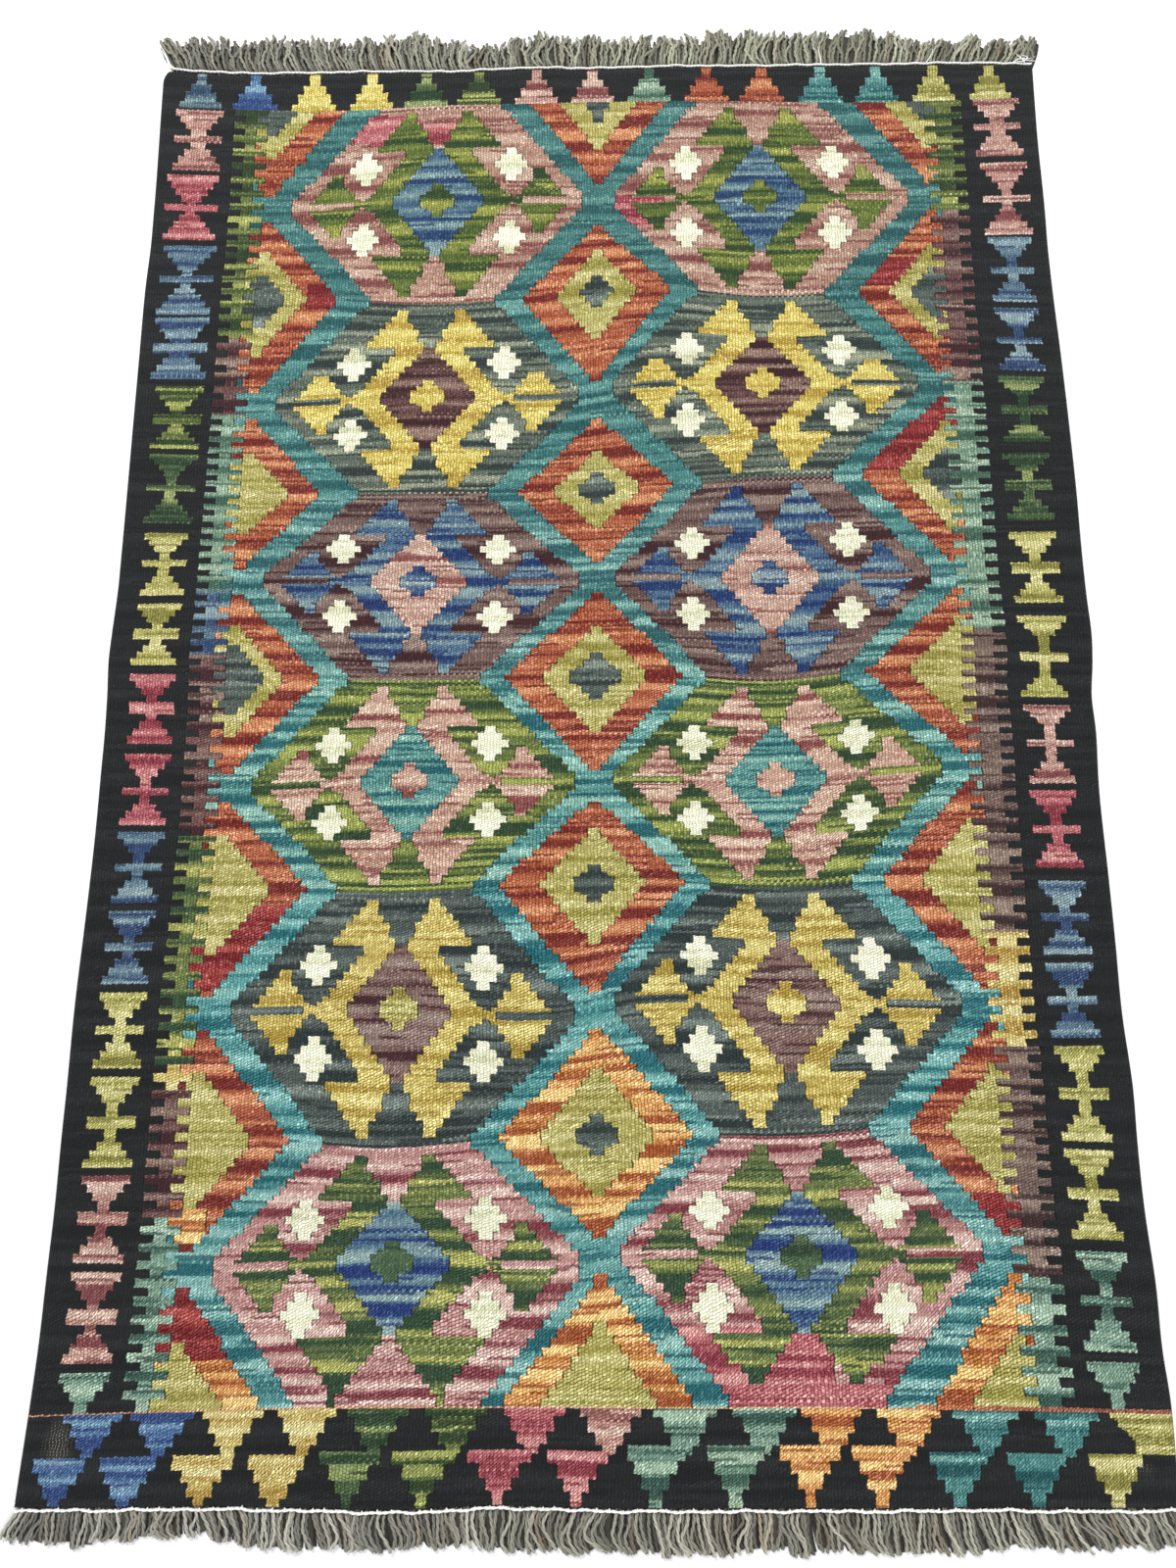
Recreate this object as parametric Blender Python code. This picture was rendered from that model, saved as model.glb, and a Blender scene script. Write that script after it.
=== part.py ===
"""A small flat-woven kilim rug, laid out flat on the floor.

Five pieces, as they are made: one woven cloth; at each end a short fringe, where the warps run out in locks of
two or three yarns; and at each end a white cord, twined through the warps to lock the weave.

Metres, +Z up. The rug's length runs along Y with its far end at +Y, and its width along X. The origin is on the
floor under the middle of the rug's box.
"""

from collections import namedtuple
import math
import random

import bpy

# Cloth: one flat sheet whose long sides bow in a little and whose ends waver.
CLOTH_WIDTH = 0.830
CLOTH_LENGTH = 1.240
CLOTH_THICKNESS = 0.003
SIDE_STEPS = 30

# Fringe: flat four-sided locks, side by side, fused at the root to a strip along the cloth's end.
LOCK_COUNT = 108
FRINGE_THICKNESS = 0.0018
STRIP_DEPTH = 0.0030
PIECE_GAP = 0.0003
CORNER_ZONE = 0.075
OWN_BEND = 0.0003

# Twined cord: it lies on the strip and zigzags by one stitch a lock.
CORD_RADIUS = 0.0010
CORD_ZIGZAG = 0.0004
CORD_SIDES = 6

# How far each long side lies inside the nominal width, from the near end (0) to the far end (1).
SideRow = namedtuple("SideRow", "along left_inset right_inset")
SIDE_ROWS = (
    SideRow(along=0.0, left_inset=-0.0010, right_inset=0.0015),
    SideRow(along=0.1, left_inset=0.0044, right_inset=0.0012),
    SideRow(along=0.2, left_inset=0.0053, right_inset=0.0038),
    SideRow(along=0.3, left_inset=0.0055, right_inset=0.0060),
    SideRow(along=0.4, left_inset=0.0071, right_inset=0.0061),
    SideRow(along=0.5, left_inset=0.0050, right_inset=0.0024),
    SideRow(along=0.6, left_inset=0.0044, right_inset=0.0006),
    SideRow(along=0.7, left_inset=0.0028, right_inset=0.0016),
    SideRow(along=0.8, left_inset=0.0012, right_inset=0.0026),
    SideRow(along=0.9, left_inset=0.0006, right_inset=0.0031),
    SideRow(along=1.0, left_inset=-0.0024, right_inset=0.0012),
)

# How far each end lies outside the nominal length, from the left side (0) to the right side (1).
EndRow = namedtuple("EndRow", "across near_out far_out")
END_ROWS = (
    EndRow(across=0 / 12, near_out=0.0008, far_out=-0.0040),
    EndRow(across=1 / 12, near_out=0.0003, far_out=-0.0088),
    EndRow(across=2 / 12, near_out=-0.0007, far_out=-0.0086),
    EndRow(across=3 / 12, near_out=0.0001, far_out=-0.0070),
    EndRow(across=4 / 12, near_out=0.0010, far_out=-0.0068),
    EndRow(across=5 / 12, near_out=-0.0022, far_out=-0.0028),
    EndRow(across=6 / 12, near_out=-0.0008, far_out=-0.0030),
    EndRow(across=7 / 12, near_out=-0.0006, far_out=-0.0006),
    EndRow(across=8 / 12, near_out=-0.0012, far_out=-0.0004),
    EndRow(across=9 / 12, near_out=-0.0013, far_out=0.0008),
    EndRow(across=10 / 12, near_out=-0.0022, far_out=0.0016),
    EndRow(across=11 / 12, near_out=-0.0018, far_out=0.0030),
    EndRow(across=12 / 12, near_out=-0.0024, far_out=0.0020),
)

# The two fringes. Tips gather into bunches that sway by two waves of their own pitch, and the corners flare out.
Fringe = namedtuple("Fringe", "seed length ragged flare broad_sway broad_pitch tight_sway tight_pitch")
NEAR_FRINGE = Fringe(
    seed=11, length=0.0262, ragged=0.0014, flare=0.0100,
    broad_sway=0.0032, broad_pitch=0.088, tight_sway=0.0009, tight_pitch=0.031,
)
FAR_FRINGE = Fringe(
    seed=23, length=0.0280, ragged=0.0028, flare=0.0080,
    broad_sway=0.0034, broad_pitch=0.097, tight_sway=0.0009, tight_pitch=0.027,
)

# A lock's centre line and width, from its root (0) to its tip (1).
LockRow = namedtuple("LockRow", "along width")
LOCK_ROWS = (
    LockRow(along=0.0, width=0.0068),
    LockRow(along=0.42, width=0.0058),
    LockRow(along=0.78, width=0.0044),
    LockRow(along=1.0, width=0.0026),
)


def read_smooth(rows, place, value, at):
    """Read one column of an evenly spaced table at any place, on a smooth curve through its rows."""
    places = [getattr(row, place) for row in rows]
    values = [getattr(row, value) for row in rows]
    index = min(max(sum(p <= at for p in places) - 1, 0), len(rows) - 2)
    t = (at - places[index]) / (places[index + 1] - places[index])
    before, after = values[max(index - 1, 0)], values[min(index + 2, len(rows) - 1)]
    start, end = values[index], values[index + 1]
    slope_in, slope_out = (end - before) / 2, (after - start) / 2
    return (
        start * (2 * t**3 - 3 * t**2 + 1)
        + slope_in * (t**3 - 2 * t**2 + t)
        + end * (3 * t**2 - 2 * t**3)
        + slope_out * (t**3 - t**2)
    )


def side_x(along, left):
    """X of a long side of the cloth, with the width's middle at 0."""
    if left:
        return -CLOTH_WIDTH / 2 + read_smooth(SIDE_ROWS, "along", "left_inset", along)
    return CLOTH_WIDTH / 2 - read_smooth(SIDE_ROWS, "along", "right_inset", along)


def end_point(across, far, out=0.0):
    """A point at a distance outside one end of the cloth, from its left corner (0) to its right corner (1)."""
    corner = 1.0 if far else 0.0
    left, right = side_x(corner, left=True), side_x(corner, left=False)
    x = left + across * (right - left)
    reach = read_smooth(END_ROWS, "across", "far_out" if far else "near_out", across)
    y = CLOTH_LENGTH / 2 + reach + out
    return (x, y if far else -y)


def side_point(along, left):
    """A point on a long side of the cloth, between the corners of its two ends."""
    corner = 0.0 if left else 1.0
    near_y, far_y = end_point(corner, far=False)[1], end_point(corner, far=True)[1]
    return (side_x(along, left), near_y + along * (far_y - near_y))


def cloth_outline():
    """The cloth's edge, once round from its near left corner."""
    near = [end_point(step / LOCK_COUNT, far=False) for step in range(0, LOCK_COUNT, 2)]
    far = [end_point(step / LOCK_COUNT, far=True) for step in range(LOCK_COUNT, 0, -2)]
    right = [side_point(step / SIDE_STEPS, left=False) for step in range(SIDE_STEPS)]
    left = [side_point(step / SIDE_STEPS, left=True) for step in range(SIDE_STEPS, 0, -1)]
    return near + right + far + left


def lock_sway(fringe, across, along, own_bend):
    """How far a lock's centre line has moved sideways at a place along it."""
    x = across * CLOTH_WIDTH
    broad = fringe.broad_sway * math.sin(2 * math.pi * x / fringe.broad_pitch)
    tight = fringe.tight_sway * math.sin(2 * math.pi * x / fringe.tight_pitch)
    from_corner = min(across, 1 - across) * CLOTH_WIDTH
    cornered = max(0.0, 1 - from_corner / CORNER_ZONE) ** 2
    flare = math.copysign(fringe.flare * cornered, across - 0.5)
    bunching = (broad + tight) * (1 - cornered)
    return bunching * along**2 + flare * along + own_bend * math.sin(math.pi * along)


def fringe_outline(fringe, far):
    """One end's fringe seen from above: the strip's straight inner edge, and the locks along its outer edge."""
    chance = random.Random(fringe.seed)
    inner = [end_point(step / LOCK_COUNT, far, out=PIECE_GAP) for step in range(LOCK_COUNT, -1, -1)]
    locks = []
    for index in range(LOCK_COUNT):
        across = (index + 0.5) / LOCK_COUNT
        length = fringe.length + fringe.ragged * chance.uniform(-1, 1)
        own_bend = OWN_BEND * chance.uniform(-1, 1)
        left_edge, right_edge = [], []
        for row in LOCK_ROWS:
            out = PIECE_GAP + STRIP_DEPTH + row.along * length
            x, y = end_point(across, far, out)
            x += lock_sway(fringe, across, row.along, own_bend)
            left_edge.append((x - row.width / 2, y))
            right_edge.append((x + row.width / 2, y))
        locks += left_edge + right_edge[::-1]
    return inner + locks


def cord_points(far):
    """The twined cord's centre line, on top of the strip."""
    middle = PIECE_GAP + STRIP_DEPTH / 2
    points = []
    for step in range(LOCK_COUNT + 1):
        zigzag = CORD_ZIGZAG if step % 2 else -CORD_ZIGZAG
        x, y = end_point(step / LOCK_COUNT, far, out=middle + zigzag)
        points.append((x, y, FRINGE_THICKNESS + PIECE_GAP + CORD_RADIUS))
    return points


def make_material(name, colour, roughness):
    """A plain dielectric material."""
    material = bpy.data.materials.new(name)
    material.use_nodes = True
    shader = material.node_tree.nodes["Principled BSDF"]
    shader.inputs["Base Color"].default_value = (*colour, 1.0)
    shader.inputs["Roughness"].default_value = roughness
    shader.inputs["Metallic"].default_value = 0.0
    return material


def add_curve_object(name, curve, points, closed, location, material, collection):
    """Give a curve one straight-sided spline and put its object in the rug's collection."""
    spline = curve.splines.new("POLY")
    spline.points.add(len(points) - 1)
    for spline_point, point in zip(spline.points, points):
        spline_point.co = (*point, 1.0)
    spline.use_cyclic_u = closed
    curve.materials.append(material)
    piece = bpy.data.objects.new(name, curve)
    piece.location = location
    collection.objects.link(piece)
    return piece


def add_flat_piece(name, outline, thickness, centre, material, collection):
    """A flat piece that stands on the floor: its outline, filled and thickened."""
    curve = bpy.data.curves.new(name, "CURVE")
    curve.dimensions = "2D"
    curve.fill_mode = "BOTH"
    curve.extrude = thickness / 2
    flat_points = [(x - centre[0], y - centre[1], 0.0) for x, y in outline]
    location = (0.0, 0.0, thickness / 2)
    return add_curve_object(name, curve, flat_points, True, location, material, collection)


def add_cord(name, points, centre, material, collection):
    """A round cord along its centre line, closed at both ends."""
    curve = bpy.data.curves.new(name, "CURVE")
    curve.dimensions = "3D"
    curve.bevel_depth = CORD_RADIUS
    curve.bevel_resolution = (CORD_SIDES - 4) // 2
    curve.use_fill_caps = True
    moved = [(x - centre[0], y - centre[1], z) for x, y, z in points]
    return add_curve_object(name, curve, moved, False, (0.0, 0.0, 0.0), material, collection)


def box_centre(outlines):
    """The middle, seen from above, of the box around all the outlines."""
    xs = [x for outline in outlines for x, y in outline]
    ys = [y for outline in outlines for x, y in outline]
    return ((min(xs) + max(xs)) / 2, (min(ys) + max(ys)) / 2)


def clear_scene():
    for old in list(bpy.data.objects):
        bpy.data.objects.remove(old, do_unlink=True)


def build_rug():
    clear_scene()
    rug = bpy.data.collections.new("kilim_rug")
    bpy.context.scene.collection.children.link(rug)

    woven_wool = make_material("woven_wool", colour=(0.150, 0.115, 0.095), roughness=0.90)
    warp_wool = make_material("warp_wool", colour=(0.200, 0.170, 0.145), roughness=0.92)
    white_cotton = make_material("white_cotton", colour=(0.780, 0.760, 0.720), roughness=0.85)

    cloth = cloth_outline()
    near_fringe = fringe_outline(NEAR_FRINGE, far=False)
    far_fringe = fringe_outline(FAR_FRINGE, far=True)
    centre = box_centre((cloth, near_fringe, far_fringe))

    add_flat_piece("rug_cloth", cloth, CLOTH_THICKNESS, centre, woven_wool, rug)
    add_flat_piece("fringe_near", near_fringe, FRINGE_THICKNESS, centre, warp_wool, rug)
    add_flat_piece("fringe_far", far_fringe, FRINGE_THICKNESS, centre, warp_wool, rug)
    add_cord("twine_near", cord_points(far=False), centre, white_cotton, rug)
    add_cord("twine_far", cord_points(far=True), centre, white_cotton, rug)


build_rug()
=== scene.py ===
"""The looks of the kilim rug: a slit-woven cloth with ribs, picks and dye streaks, fringes and white cords.

The cloth is drawn on a weaver's chart. Its cells are one warp wide and three picks high (a row, half a step
of the pattern), and its tables count in columns of two warps. Each colour area is woven with its own bobbin,
whose dye runs on along its yarn, back and forth, pick after pick. Measured warps and wefts then bend the
chart into the uneven shape that the rug has.

Metres, +Z up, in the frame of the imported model. On the cloth, u runs from the left side, and v from the
near end.
"""

from collections import namedtuple
import math
import random
from statistics import NormalDist

import bpy
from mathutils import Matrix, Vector
import numpy as np

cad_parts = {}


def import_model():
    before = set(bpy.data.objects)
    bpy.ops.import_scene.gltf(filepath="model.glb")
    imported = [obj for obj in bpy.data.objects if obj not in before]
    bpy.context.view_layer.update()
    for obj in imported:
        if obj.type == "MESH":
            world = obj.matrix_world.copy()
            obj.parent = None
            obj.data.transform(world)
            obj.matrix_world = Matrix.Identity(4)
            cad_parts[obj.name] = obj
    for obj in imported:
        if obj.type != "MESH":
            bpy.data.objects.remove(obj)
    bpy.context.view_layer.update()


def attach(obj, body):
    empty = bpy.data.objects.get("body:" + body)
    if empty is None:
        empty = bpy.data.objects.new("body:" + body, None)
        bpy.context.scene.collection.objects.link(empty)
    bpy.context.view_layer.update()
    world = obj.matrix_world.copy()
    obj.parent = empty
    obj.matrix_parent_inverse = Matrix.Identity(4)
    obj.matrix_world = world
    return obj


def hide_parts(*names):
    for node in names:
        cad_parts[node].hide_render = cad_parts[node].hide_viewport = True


def table(kind, *rows):
    """A table's rows, each with the names of its columns."""
    return tuple(kind(*row) for row in rows)


MM = 0.001

# The cloth as in the part's source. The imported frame's origin is the middle of the rug's box.
CLOTH_WIDTH = 0.830
CLOTH_LENGTH = 1.240
CLOTH_THICKNESS = 0.003
WIDTH_MM = CLOTH_WIDTH / MM
LENGTH_MM = CLOTH_LENGTH / MM
BOX_MIDDLE_U = 0.413892
BOX_MIDDLE_V = 0.622505

# The chart: columns of two warps across, and rows of three picks along, two for each step of the pattern.
COLUMNS = 160
WARPS = 320
NEAR_ROWS = 22
MEDALLION_ROWS = 60
MEDALLION_COUNT = 6
FAR_ROWS = 12
FIELD_TOP = NEAR_ROWS + MEDALLION_ROWS * MEDALLION_COUNT
ROWS = FIELD_TOP + FAR_ROWS
STEPS_A_MEDALLION = MEDALLION_ROWS // 2
WARPS_A_COLUMN = 2
PICKS_A_ROW = 3

# How far each long side lies inside the nominal width, in mm, from the near end (0) to the far end (1).
SideRow = namedtuple("SideRow", "along left right")
SIDE_ROWS = table(
    SideRow,
    (0.0, -1.0, 1.5), (0.1, 4.4, 1.2), (0.2, 5.3, 3.8), (0.3, 5.5, 6.0), (0.4, 7.1, 6.1), (0.5, 5.0, 2.4),
    (0.6, 4.4, 0.6), (0.7, 2.8, 1.6), (0.8, 1.2, 2.6), (0.9, 0.6, 3.1), (1.0, -2.4, 1.2),
)

# Short waves of the two selvedges, between those rows: v and how far each side stands out, in mm. They fade
# inwards with a power of the way across.
SelvedgeWave = namedtuple("SelvedgeWave", "v left right")
SELVEDGE_WAVES = table(
    SelvedgeWave,
    (0, 0.5, 2.0), (75, 0.0, 3.0), (105, 0.0, 1.0), (150, 0.5, 1.5), (205, 0.0, 0.0), (255, 0.5, 1.0),
    (290, 0.5, 2.5), (350, 1.0, 1.0), (405, 0.5, 2.0), (460, 0.5, 2.0), (535, 0.5, 0.5), (580, 0.0, 1.0),
    (608, 0.5, -0.5), (640, 2.0, 2.5), (660, 1.5, 3.5), (700, 0.0, 2.0), (740, 0.0, 1.5), (800, 0.0, 2.5),
    (930, 0.0, 2.5), (1000, 0.0, 1.5), (1040, -1.0, 1.5), (1080, -0.5, 2.5), (1170, 0.5, 2.0),
    (1244, 0.5, 2.5),
)
WAVE_FADING = 4

# How far each end lies outside the nominal length, in mm, from the left side (0) to the right side (12).
EndRow = namedtuple("EndRow", "twelfth near far")
END_ROWS = table(
    EndRow,
    (0, 0.8, -4.0), (1, 0.3, -8.8), (2, -0.7, -8.6), (3, 0.1, -7.0), (4, 1.0, -6.8), (5, -2.2, -2.8),
    (6, -0.8, -3.0), (7, -0.6, -0.6), (8, -1.2, -0.4), (9, -1.3, 0.8), (10, -2.2, 1.6), (11, -1.8, 3.0),
    (12, -2.4, 2.0),
)

# The wefts aren't level. Each line of the pattern, from near to far, has its v in mm at eight places across:
# both sides, each medallion's middle, and the points of the shapes beside it.
WeftLine = namedtuple("WeftLine", "side_l outer_l middle_l inner_l inner_r middle_r outer_r side_r")
EDGE_PLACES = WeftLine(0, 180, 262, 345, 485, 563, 645, 830)
WAIST_PLACES = WeftLine(0, 125, 262, 400, 430, 563, 703, 830)
WEFT_LINES = table(
    WeftLine,
    (61.5, 67, 68.5, 69, 69, 69.5, 69, 66.5), (159.5, 159, 164.5, 164, 168, 169.5, 172, 168),
    (249, 250, 246, 253, 256, 256, 262, 260), (345, 346.5, 350, 347, 354, 356, 354, 356),
    (440.5, 443.5, 442, 447, 450, 447, 452.5, 452.5), (528, 527.5, 534, 533.5, 534.5, 535.5, 546, 548),
    (622, 621.5, 621, 622.5, 624.5, 620.5, 629, 628.5), (707, 709, 709.5, 710, 712, 713, 716, 718.5),
    (794.5, 791, 791.5, 792.5, 801, 807, 810.5, 815), (876.5, 876.5, 886, 887.5, 893.5, 900, 899, 896),
    (982, 983, 979.5, 985, 997, 989, 992.5, 991.5),
    (1082, 1079.5, 1089.5, 1089.5, 1089.5, 1094.5, 1093.5, 1097),
    (1194.5, 1189.5, 1195, 1197.5, 1200.5, 1200, 1199, 1205),
)

# Hands leave every crossing a little off its place, and the far left corner is worn round. All in mm.
HAND_SHIFT_U = 0.75
HAND_SHIFT_V = 0.35
HAND_SEED = 12
CORNER_CUT = 5.0
CORNER_REACH = 12.0
CORNER_SPREAD = 40.0

# The warps wander sideways, in mm to the right, at each medallion's waist from near to far.
WarpLine = namedtuple("WarpLine", "band_l outer_l medallion_l inner_l middle medallion_r outer_r band_r")
WARP_PLACES = WarpLine(11, 30, 51, 66, 80, 109, 130, 149)
WARP_LINES = table(
    WarpLine,
    (-5.0, -4.5, -5.5, -1.5, 0.5, 1.5, 2.5, 4.0), (-4.5, -4.5, -7.0, -7.0, -2.0, -0.5, 2.5, 3.5),
    (-3.5, -2.5, -7.0, -8.0, -3.5, -3.5, -2.0, 3.5), (-4.5, -4.0, -6.0, -6.0, -2.5, -5.0, -3.0, 0.0),
    (-3.0, -2.5, -3.0, -2.5, -2.5, -4.0, -1.0, 0.5), (-2.0, 1.0, 1.0, 2.5, 1.0, 1.0, 3.5, 2.5),
)

# Yarns: three tones as the eye sees them (sRGB, 0 to 255), and the shares of yarn that are dark and light.
Yarn = namedtuple("Yarn", "dark mid light dark_share light_share")
YARNS = {
    "charcoal": Yarn((24, 26, 27), (31, 33, 34), (38, 40, 41), 0.26, 0.22),
    "cream": Yarn((212, 214, 176), (233, 234, 202), (244, 245, 218), 0.20, 0.40),
    "lime": Yarn((146, 139, 60), (176, 168, 93), (198, 191, 125), 0.16, 0.30),
    "slate": Yarn((46, 58, 56), (82, 94, 88), (132, 144, 132), 0.30, 0.20),
    "rust": Yarn((112, 34, 27), (168, 86, 53), (206, 138, 92), 0.30, 0.28),
    "orange": Yarn((154, 76, 30), (206, 140, 70), (238, 200, 124), 0.30, 0.34),
    "dark_red": Yarn((112, 25, 28), (138, 42, 42), (166, 68, 62), 0.30, 0.15),
    "teal_0": Yarn((30, 96, 103), (87, 150, 148), (138, 184, 176), 0.32, 0.32),
    "teal_1": Yarn((30, 100, 108), (83, 150, 148), (131, 184, 178), 0.32, 0.30),
    "teal_2": Yarn((32, 96, 102), (92, 154, 147), (142, 188, 174), 0.32, 0.34),
    "teal_3": Yarn((42, 94, 98), (84, 140, 136), (131, 177, 167), 0.30, 0.28),
    "teal_4": Yarn((37, 89, 91), (71, 128, 125), (104, 158, 150), 0.28, 0.24),
    "teal_5": Yarn((37, 86, 88), (64, 118, 115), (95, 144, 138), 0.28, 0.22),
    "rose_ground": Yarn((121, 52, 60), (180, 131, 126), (216, 186, 174), 0.18, 0.32),
    "slate_ground": Yarn((40, 51, 51), (77, 88, 84), (117, 129, 122), 0.32, 0.20),
    "olive_ground": Yarn((44, 68, 43), (91, 108, 53), (158, 166, 82), 0.32, 0.34),
    "mauve_ground": Yarn((60, 30, 34), (111, 87, 81), (144, 123, 112), 0.24, 0.28),
    "grey_ground": Yarn((47, 58, 56), (93, 105, 93), (151, 158, 134), 0.32, 0.24),
    "pink_ground": Yarn((124, 70, 66), (171, 131, 113), (197, 168, 148), 0.18, 0.34),
    "rose": Yarn((134, 50, 62), (177, 94, 99), (204, 141, 136), 0.28, 0.26),
    "green_figure": Yarn((46, 71, 48), (102, 117, 63), (172, 172, 92), 0.38, 0.24),
    "gold_figure": Yarn((166, 141, 54), (198, 178, 92), (217, 202, 121), 0.22, 0.30),
    "pink_figure": Yarn((130, 68, 65), (192, 152, 132), (214, 185, 163), 0.18, 0.34),
    "blue_figure": Yarn((27, 52, 102), (69, 102, 132), (130, 154, 156), 0.32, 0.32),
    "yellow_figure": Yarn((178, 150, 59), (208, 187, 89), (223, 208, 118), 0.20, 0.30),
    "olive_figure": Yarn((42, 67, 36), (93, 110, 46), (151, 155, 71), 0.34, 0.26),
    "royal_diamond": Yarn((26, 53, 112), (83, 118, 138), (141, 168, 165), 0.34, 0.28),
    "mauve_diamond": Yarn((66, 34, 39), (125, 97, 90), (150, 130, 120), 0.24, 0.26),
    "teal_diamond": Yarn((28, 92, 99), (90, 147, 141), (134, 182, 166), 0.30, 0.28),
    "pink_diamond": Yarn((132, 74, 70), (190, 152, 135), (211, 184, 166), 0.18, 0.32),
    "plum_diamond": Yarn((58, 28, 33), (98, 66, 64), (145, 118, 104), 0.34, 0.24),
    "blue_diamond": Yarn((30, 61, 101), (76, 110, 130), (126, 154, 153), 0.30, 0.28),
    "green_core": Yarn((44, 66, 48), (72, 97, 68), (132, 148, 100), 0.30, 0.16),
    "olive_core": Yarn((142, 131, 60), (180, 171, 94), (200, 193, 122), 0.24, 0.28),
    "blue_core": Yarn((28, 54, 104), (72, 103, 136), (152, 170, 171), 0.28, 0.30),
    "mint": Yarn((62, 95, 79), (114, 146, 123), (157, 181, 156), 0.24, 0.32),
    "mint_teal": Yarn((51, 84, 73), (116, 149, 131), (160, 187, 163), 0.26, 0.30),
    "plum": Yarn((62, 33, 37), (108, 76, 73), (143, 120, 107), 0.30, 0.24),
    "mauve": Yarn((60, 40, 40), (112, 92, 84), (145, 126, 112), 0.26, 0.28),
    "green": Yarn((43, 62, 35), (89, 105, 55), (160, 166, 89), 0.34, 0.26),
    "dark_green": Yarn((37, 61, 40), (71, 94, 59), (142, 155, 96), 0.34, 0.24),
    "olive": Yarn((133, 129, 57), (180, 176, 98), (206, 200, 136), 0.22, 0.30),
    "yellow": Yarn((170, 138, 62), (198, 178, 100), (216, 204, 140), 0.20, 0.34),
    "straw": Yarn((190, 168, 66), (212, 196, 102), (227, 215, 136), 0.20, 0.34),
    "pink": Yarn((124, 66, 67), (180, 135, 122), (208, 176, 160), 0.24, 0.32),
    "blue": Yarn((44, 66, 104), (86, 115, 133), (134, 158, 164), 0.28, 0.30),
    "royal": Yarn((40, 66, 118), (66, 101, 145), (118, 156, 181), 0.36, 0.24),
    "dull_blue": Yarn((46, 72, 98), (85, 112, 123), (124, 148, 150), 0.24, 0.22),
    "teal": Yarn((27, 83, 85), (68, 127, 125), (120, 170, 162), 0.32, 0.14),
}

# Medallions from near to far. Their cores differ left and right. The sky is the ground between medallions.
Medallion = namedtuple("Medallion", "ground figure diamond core_l core_r sky")
MEDALLIONS = table(
    Medallion,
    ("rose_ground", "green_figure", "royal_diamond", "green_core", "green_core", "teal_0"),
    ("slate_ground", "gold_figure", "mauve_diamond", "olive_core", "gold_figure", "teal_1"),
    ("olive_ground", "pink_figure", "teal_diamond", "pink_figure", "pink_figure", "teal_2"),
    ("mauve_ground", "blue_figure", "pink_diamond", "blue_core", "blue_core", "teal_3"),
    ("grey_ground", "yellow_figure", "plum_diamond", "yellow_figure", "yellow_figure", "teal_4"),
    ("pink_ground", "olive_figure", "blue_diamond", "olive_figure", "olive_figure", "teal_5"),
)
MEDALLION_COLUMNS = (51, 109)
GROUND_HALF_WIDTH = 26.5
GROUND_END_HALF_WIDTH = 10.6
GROUND_SLOPE = 1.1
DIAMOND = (8.3, 8)
CORE = (3.2, 2.6)
CROSS_PLACE = (13, 5.5)
CROSS_HALF_WIDTHS = (3, 2, 1)
ARM_OUTER = 5.3
ARM_SLOPE = 0.93
ARM_STEPS = 8
HEAD_SPANS = ((1, 11), (2, 10), (2, 9), (3, 8), (4, 7), (4, 6))
WING_SPANS = ((14, 23), (15, 22), (16, 21), (17, 20), (17, 19))
WING_SLIT = (15, 24)
SHORT_WINGED_MEDALLION = 4
NECK_SPANS = ((11, 14), (11, 13))

# The nearest medallions' near halves are drawn out to the border: the right one's sizes, and the left one's.
NEAR_GROUND_END_HALF_WIDTHS = (10.4, 12.8)
NEAR_GROUND_SLOPES = (1.08, 0.98)
NEAR_HEAD_SPANS = (
    ((2, 13), (3, 12), (4, 11), (5, 9), (6, 8)),
    ((1, 13), (2, 12), (3, 11), (4, 10), (5, 9), (6, 8), (7, 8)),
)

# The nested rhombi on the lines between medallions, from near to far: half width in columns, and reach in
# steps towards the far (up) and near (down) end. The inner one is lime, and the core is slate.
Rhombus = namedtuple(
    "Rhombus", "half_width up down inner_half_width inner_up inner_down core_half_width core_reach yarn"
)
RHOMBI = table(
    Rhombus,
    (13.2, 13.3, 0, 7.6, 8.4, 0, 0, 0, "orange"), (14, 12.7, 12.4, 8.4, 8.1, 7.6, 3.2, 2.6, "orange"),
    (14, 12.2, 13.1, 7.8, 8.0, 7.4, 3.2, 2.6, "rust"), (14, 13.0, 13.7, 8.4, 7.6, 8.2, 4.2, 3.6, "rust"),
    (13, 11.0, 12.2, 7.2, 5.8, 6.6, 3.1, 2.6, "rust"), (13, 10.8, 13.4, 7.0, 6.8, 7.2, 3.0, 2.6, "rust"),
    (13, 0, 12.5, 7.0, 0, 7.7, 2.4, 3.6, "rust"),
)
RHOMBUS_COLUMN = 80

# A rhombus narrows from a quarter of a step on, and its point is one column wide.
RHOMBUS_STEP_IN = 0.25
RHOMBUS_POINT = 0.6

# The half rhombi that the combs cut, on the same lines: the half widths, and whether a slate core shows.
SideRhombi = namedtuple("SideRhombi", "left right left_core right_core yarn")
SIDE_RHOMBI = table(
    SideRhombi,
    (12.0, 12.2, 0, 0, "orange"), (14.0, 13.4, 0, 0, "rust"), (14.0, 14.2, 0, 0, "rust"),
    (14.2, 14.6, 5.2, 0, "rust"), (12.2, 14.4, 0, 4.2, "rust"), (13.4, 13.2, 4.2, 4.2, "rust"),
    (13.0, 12.8, 4.2, 3.2, "rust"),
)
SIDE_RHOMBUS_COLUMNS = (21, 139)
SIDE_RHOMBUS_REACH = 13.0
SIDE_INNER_SHARE = 0.58

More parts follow.
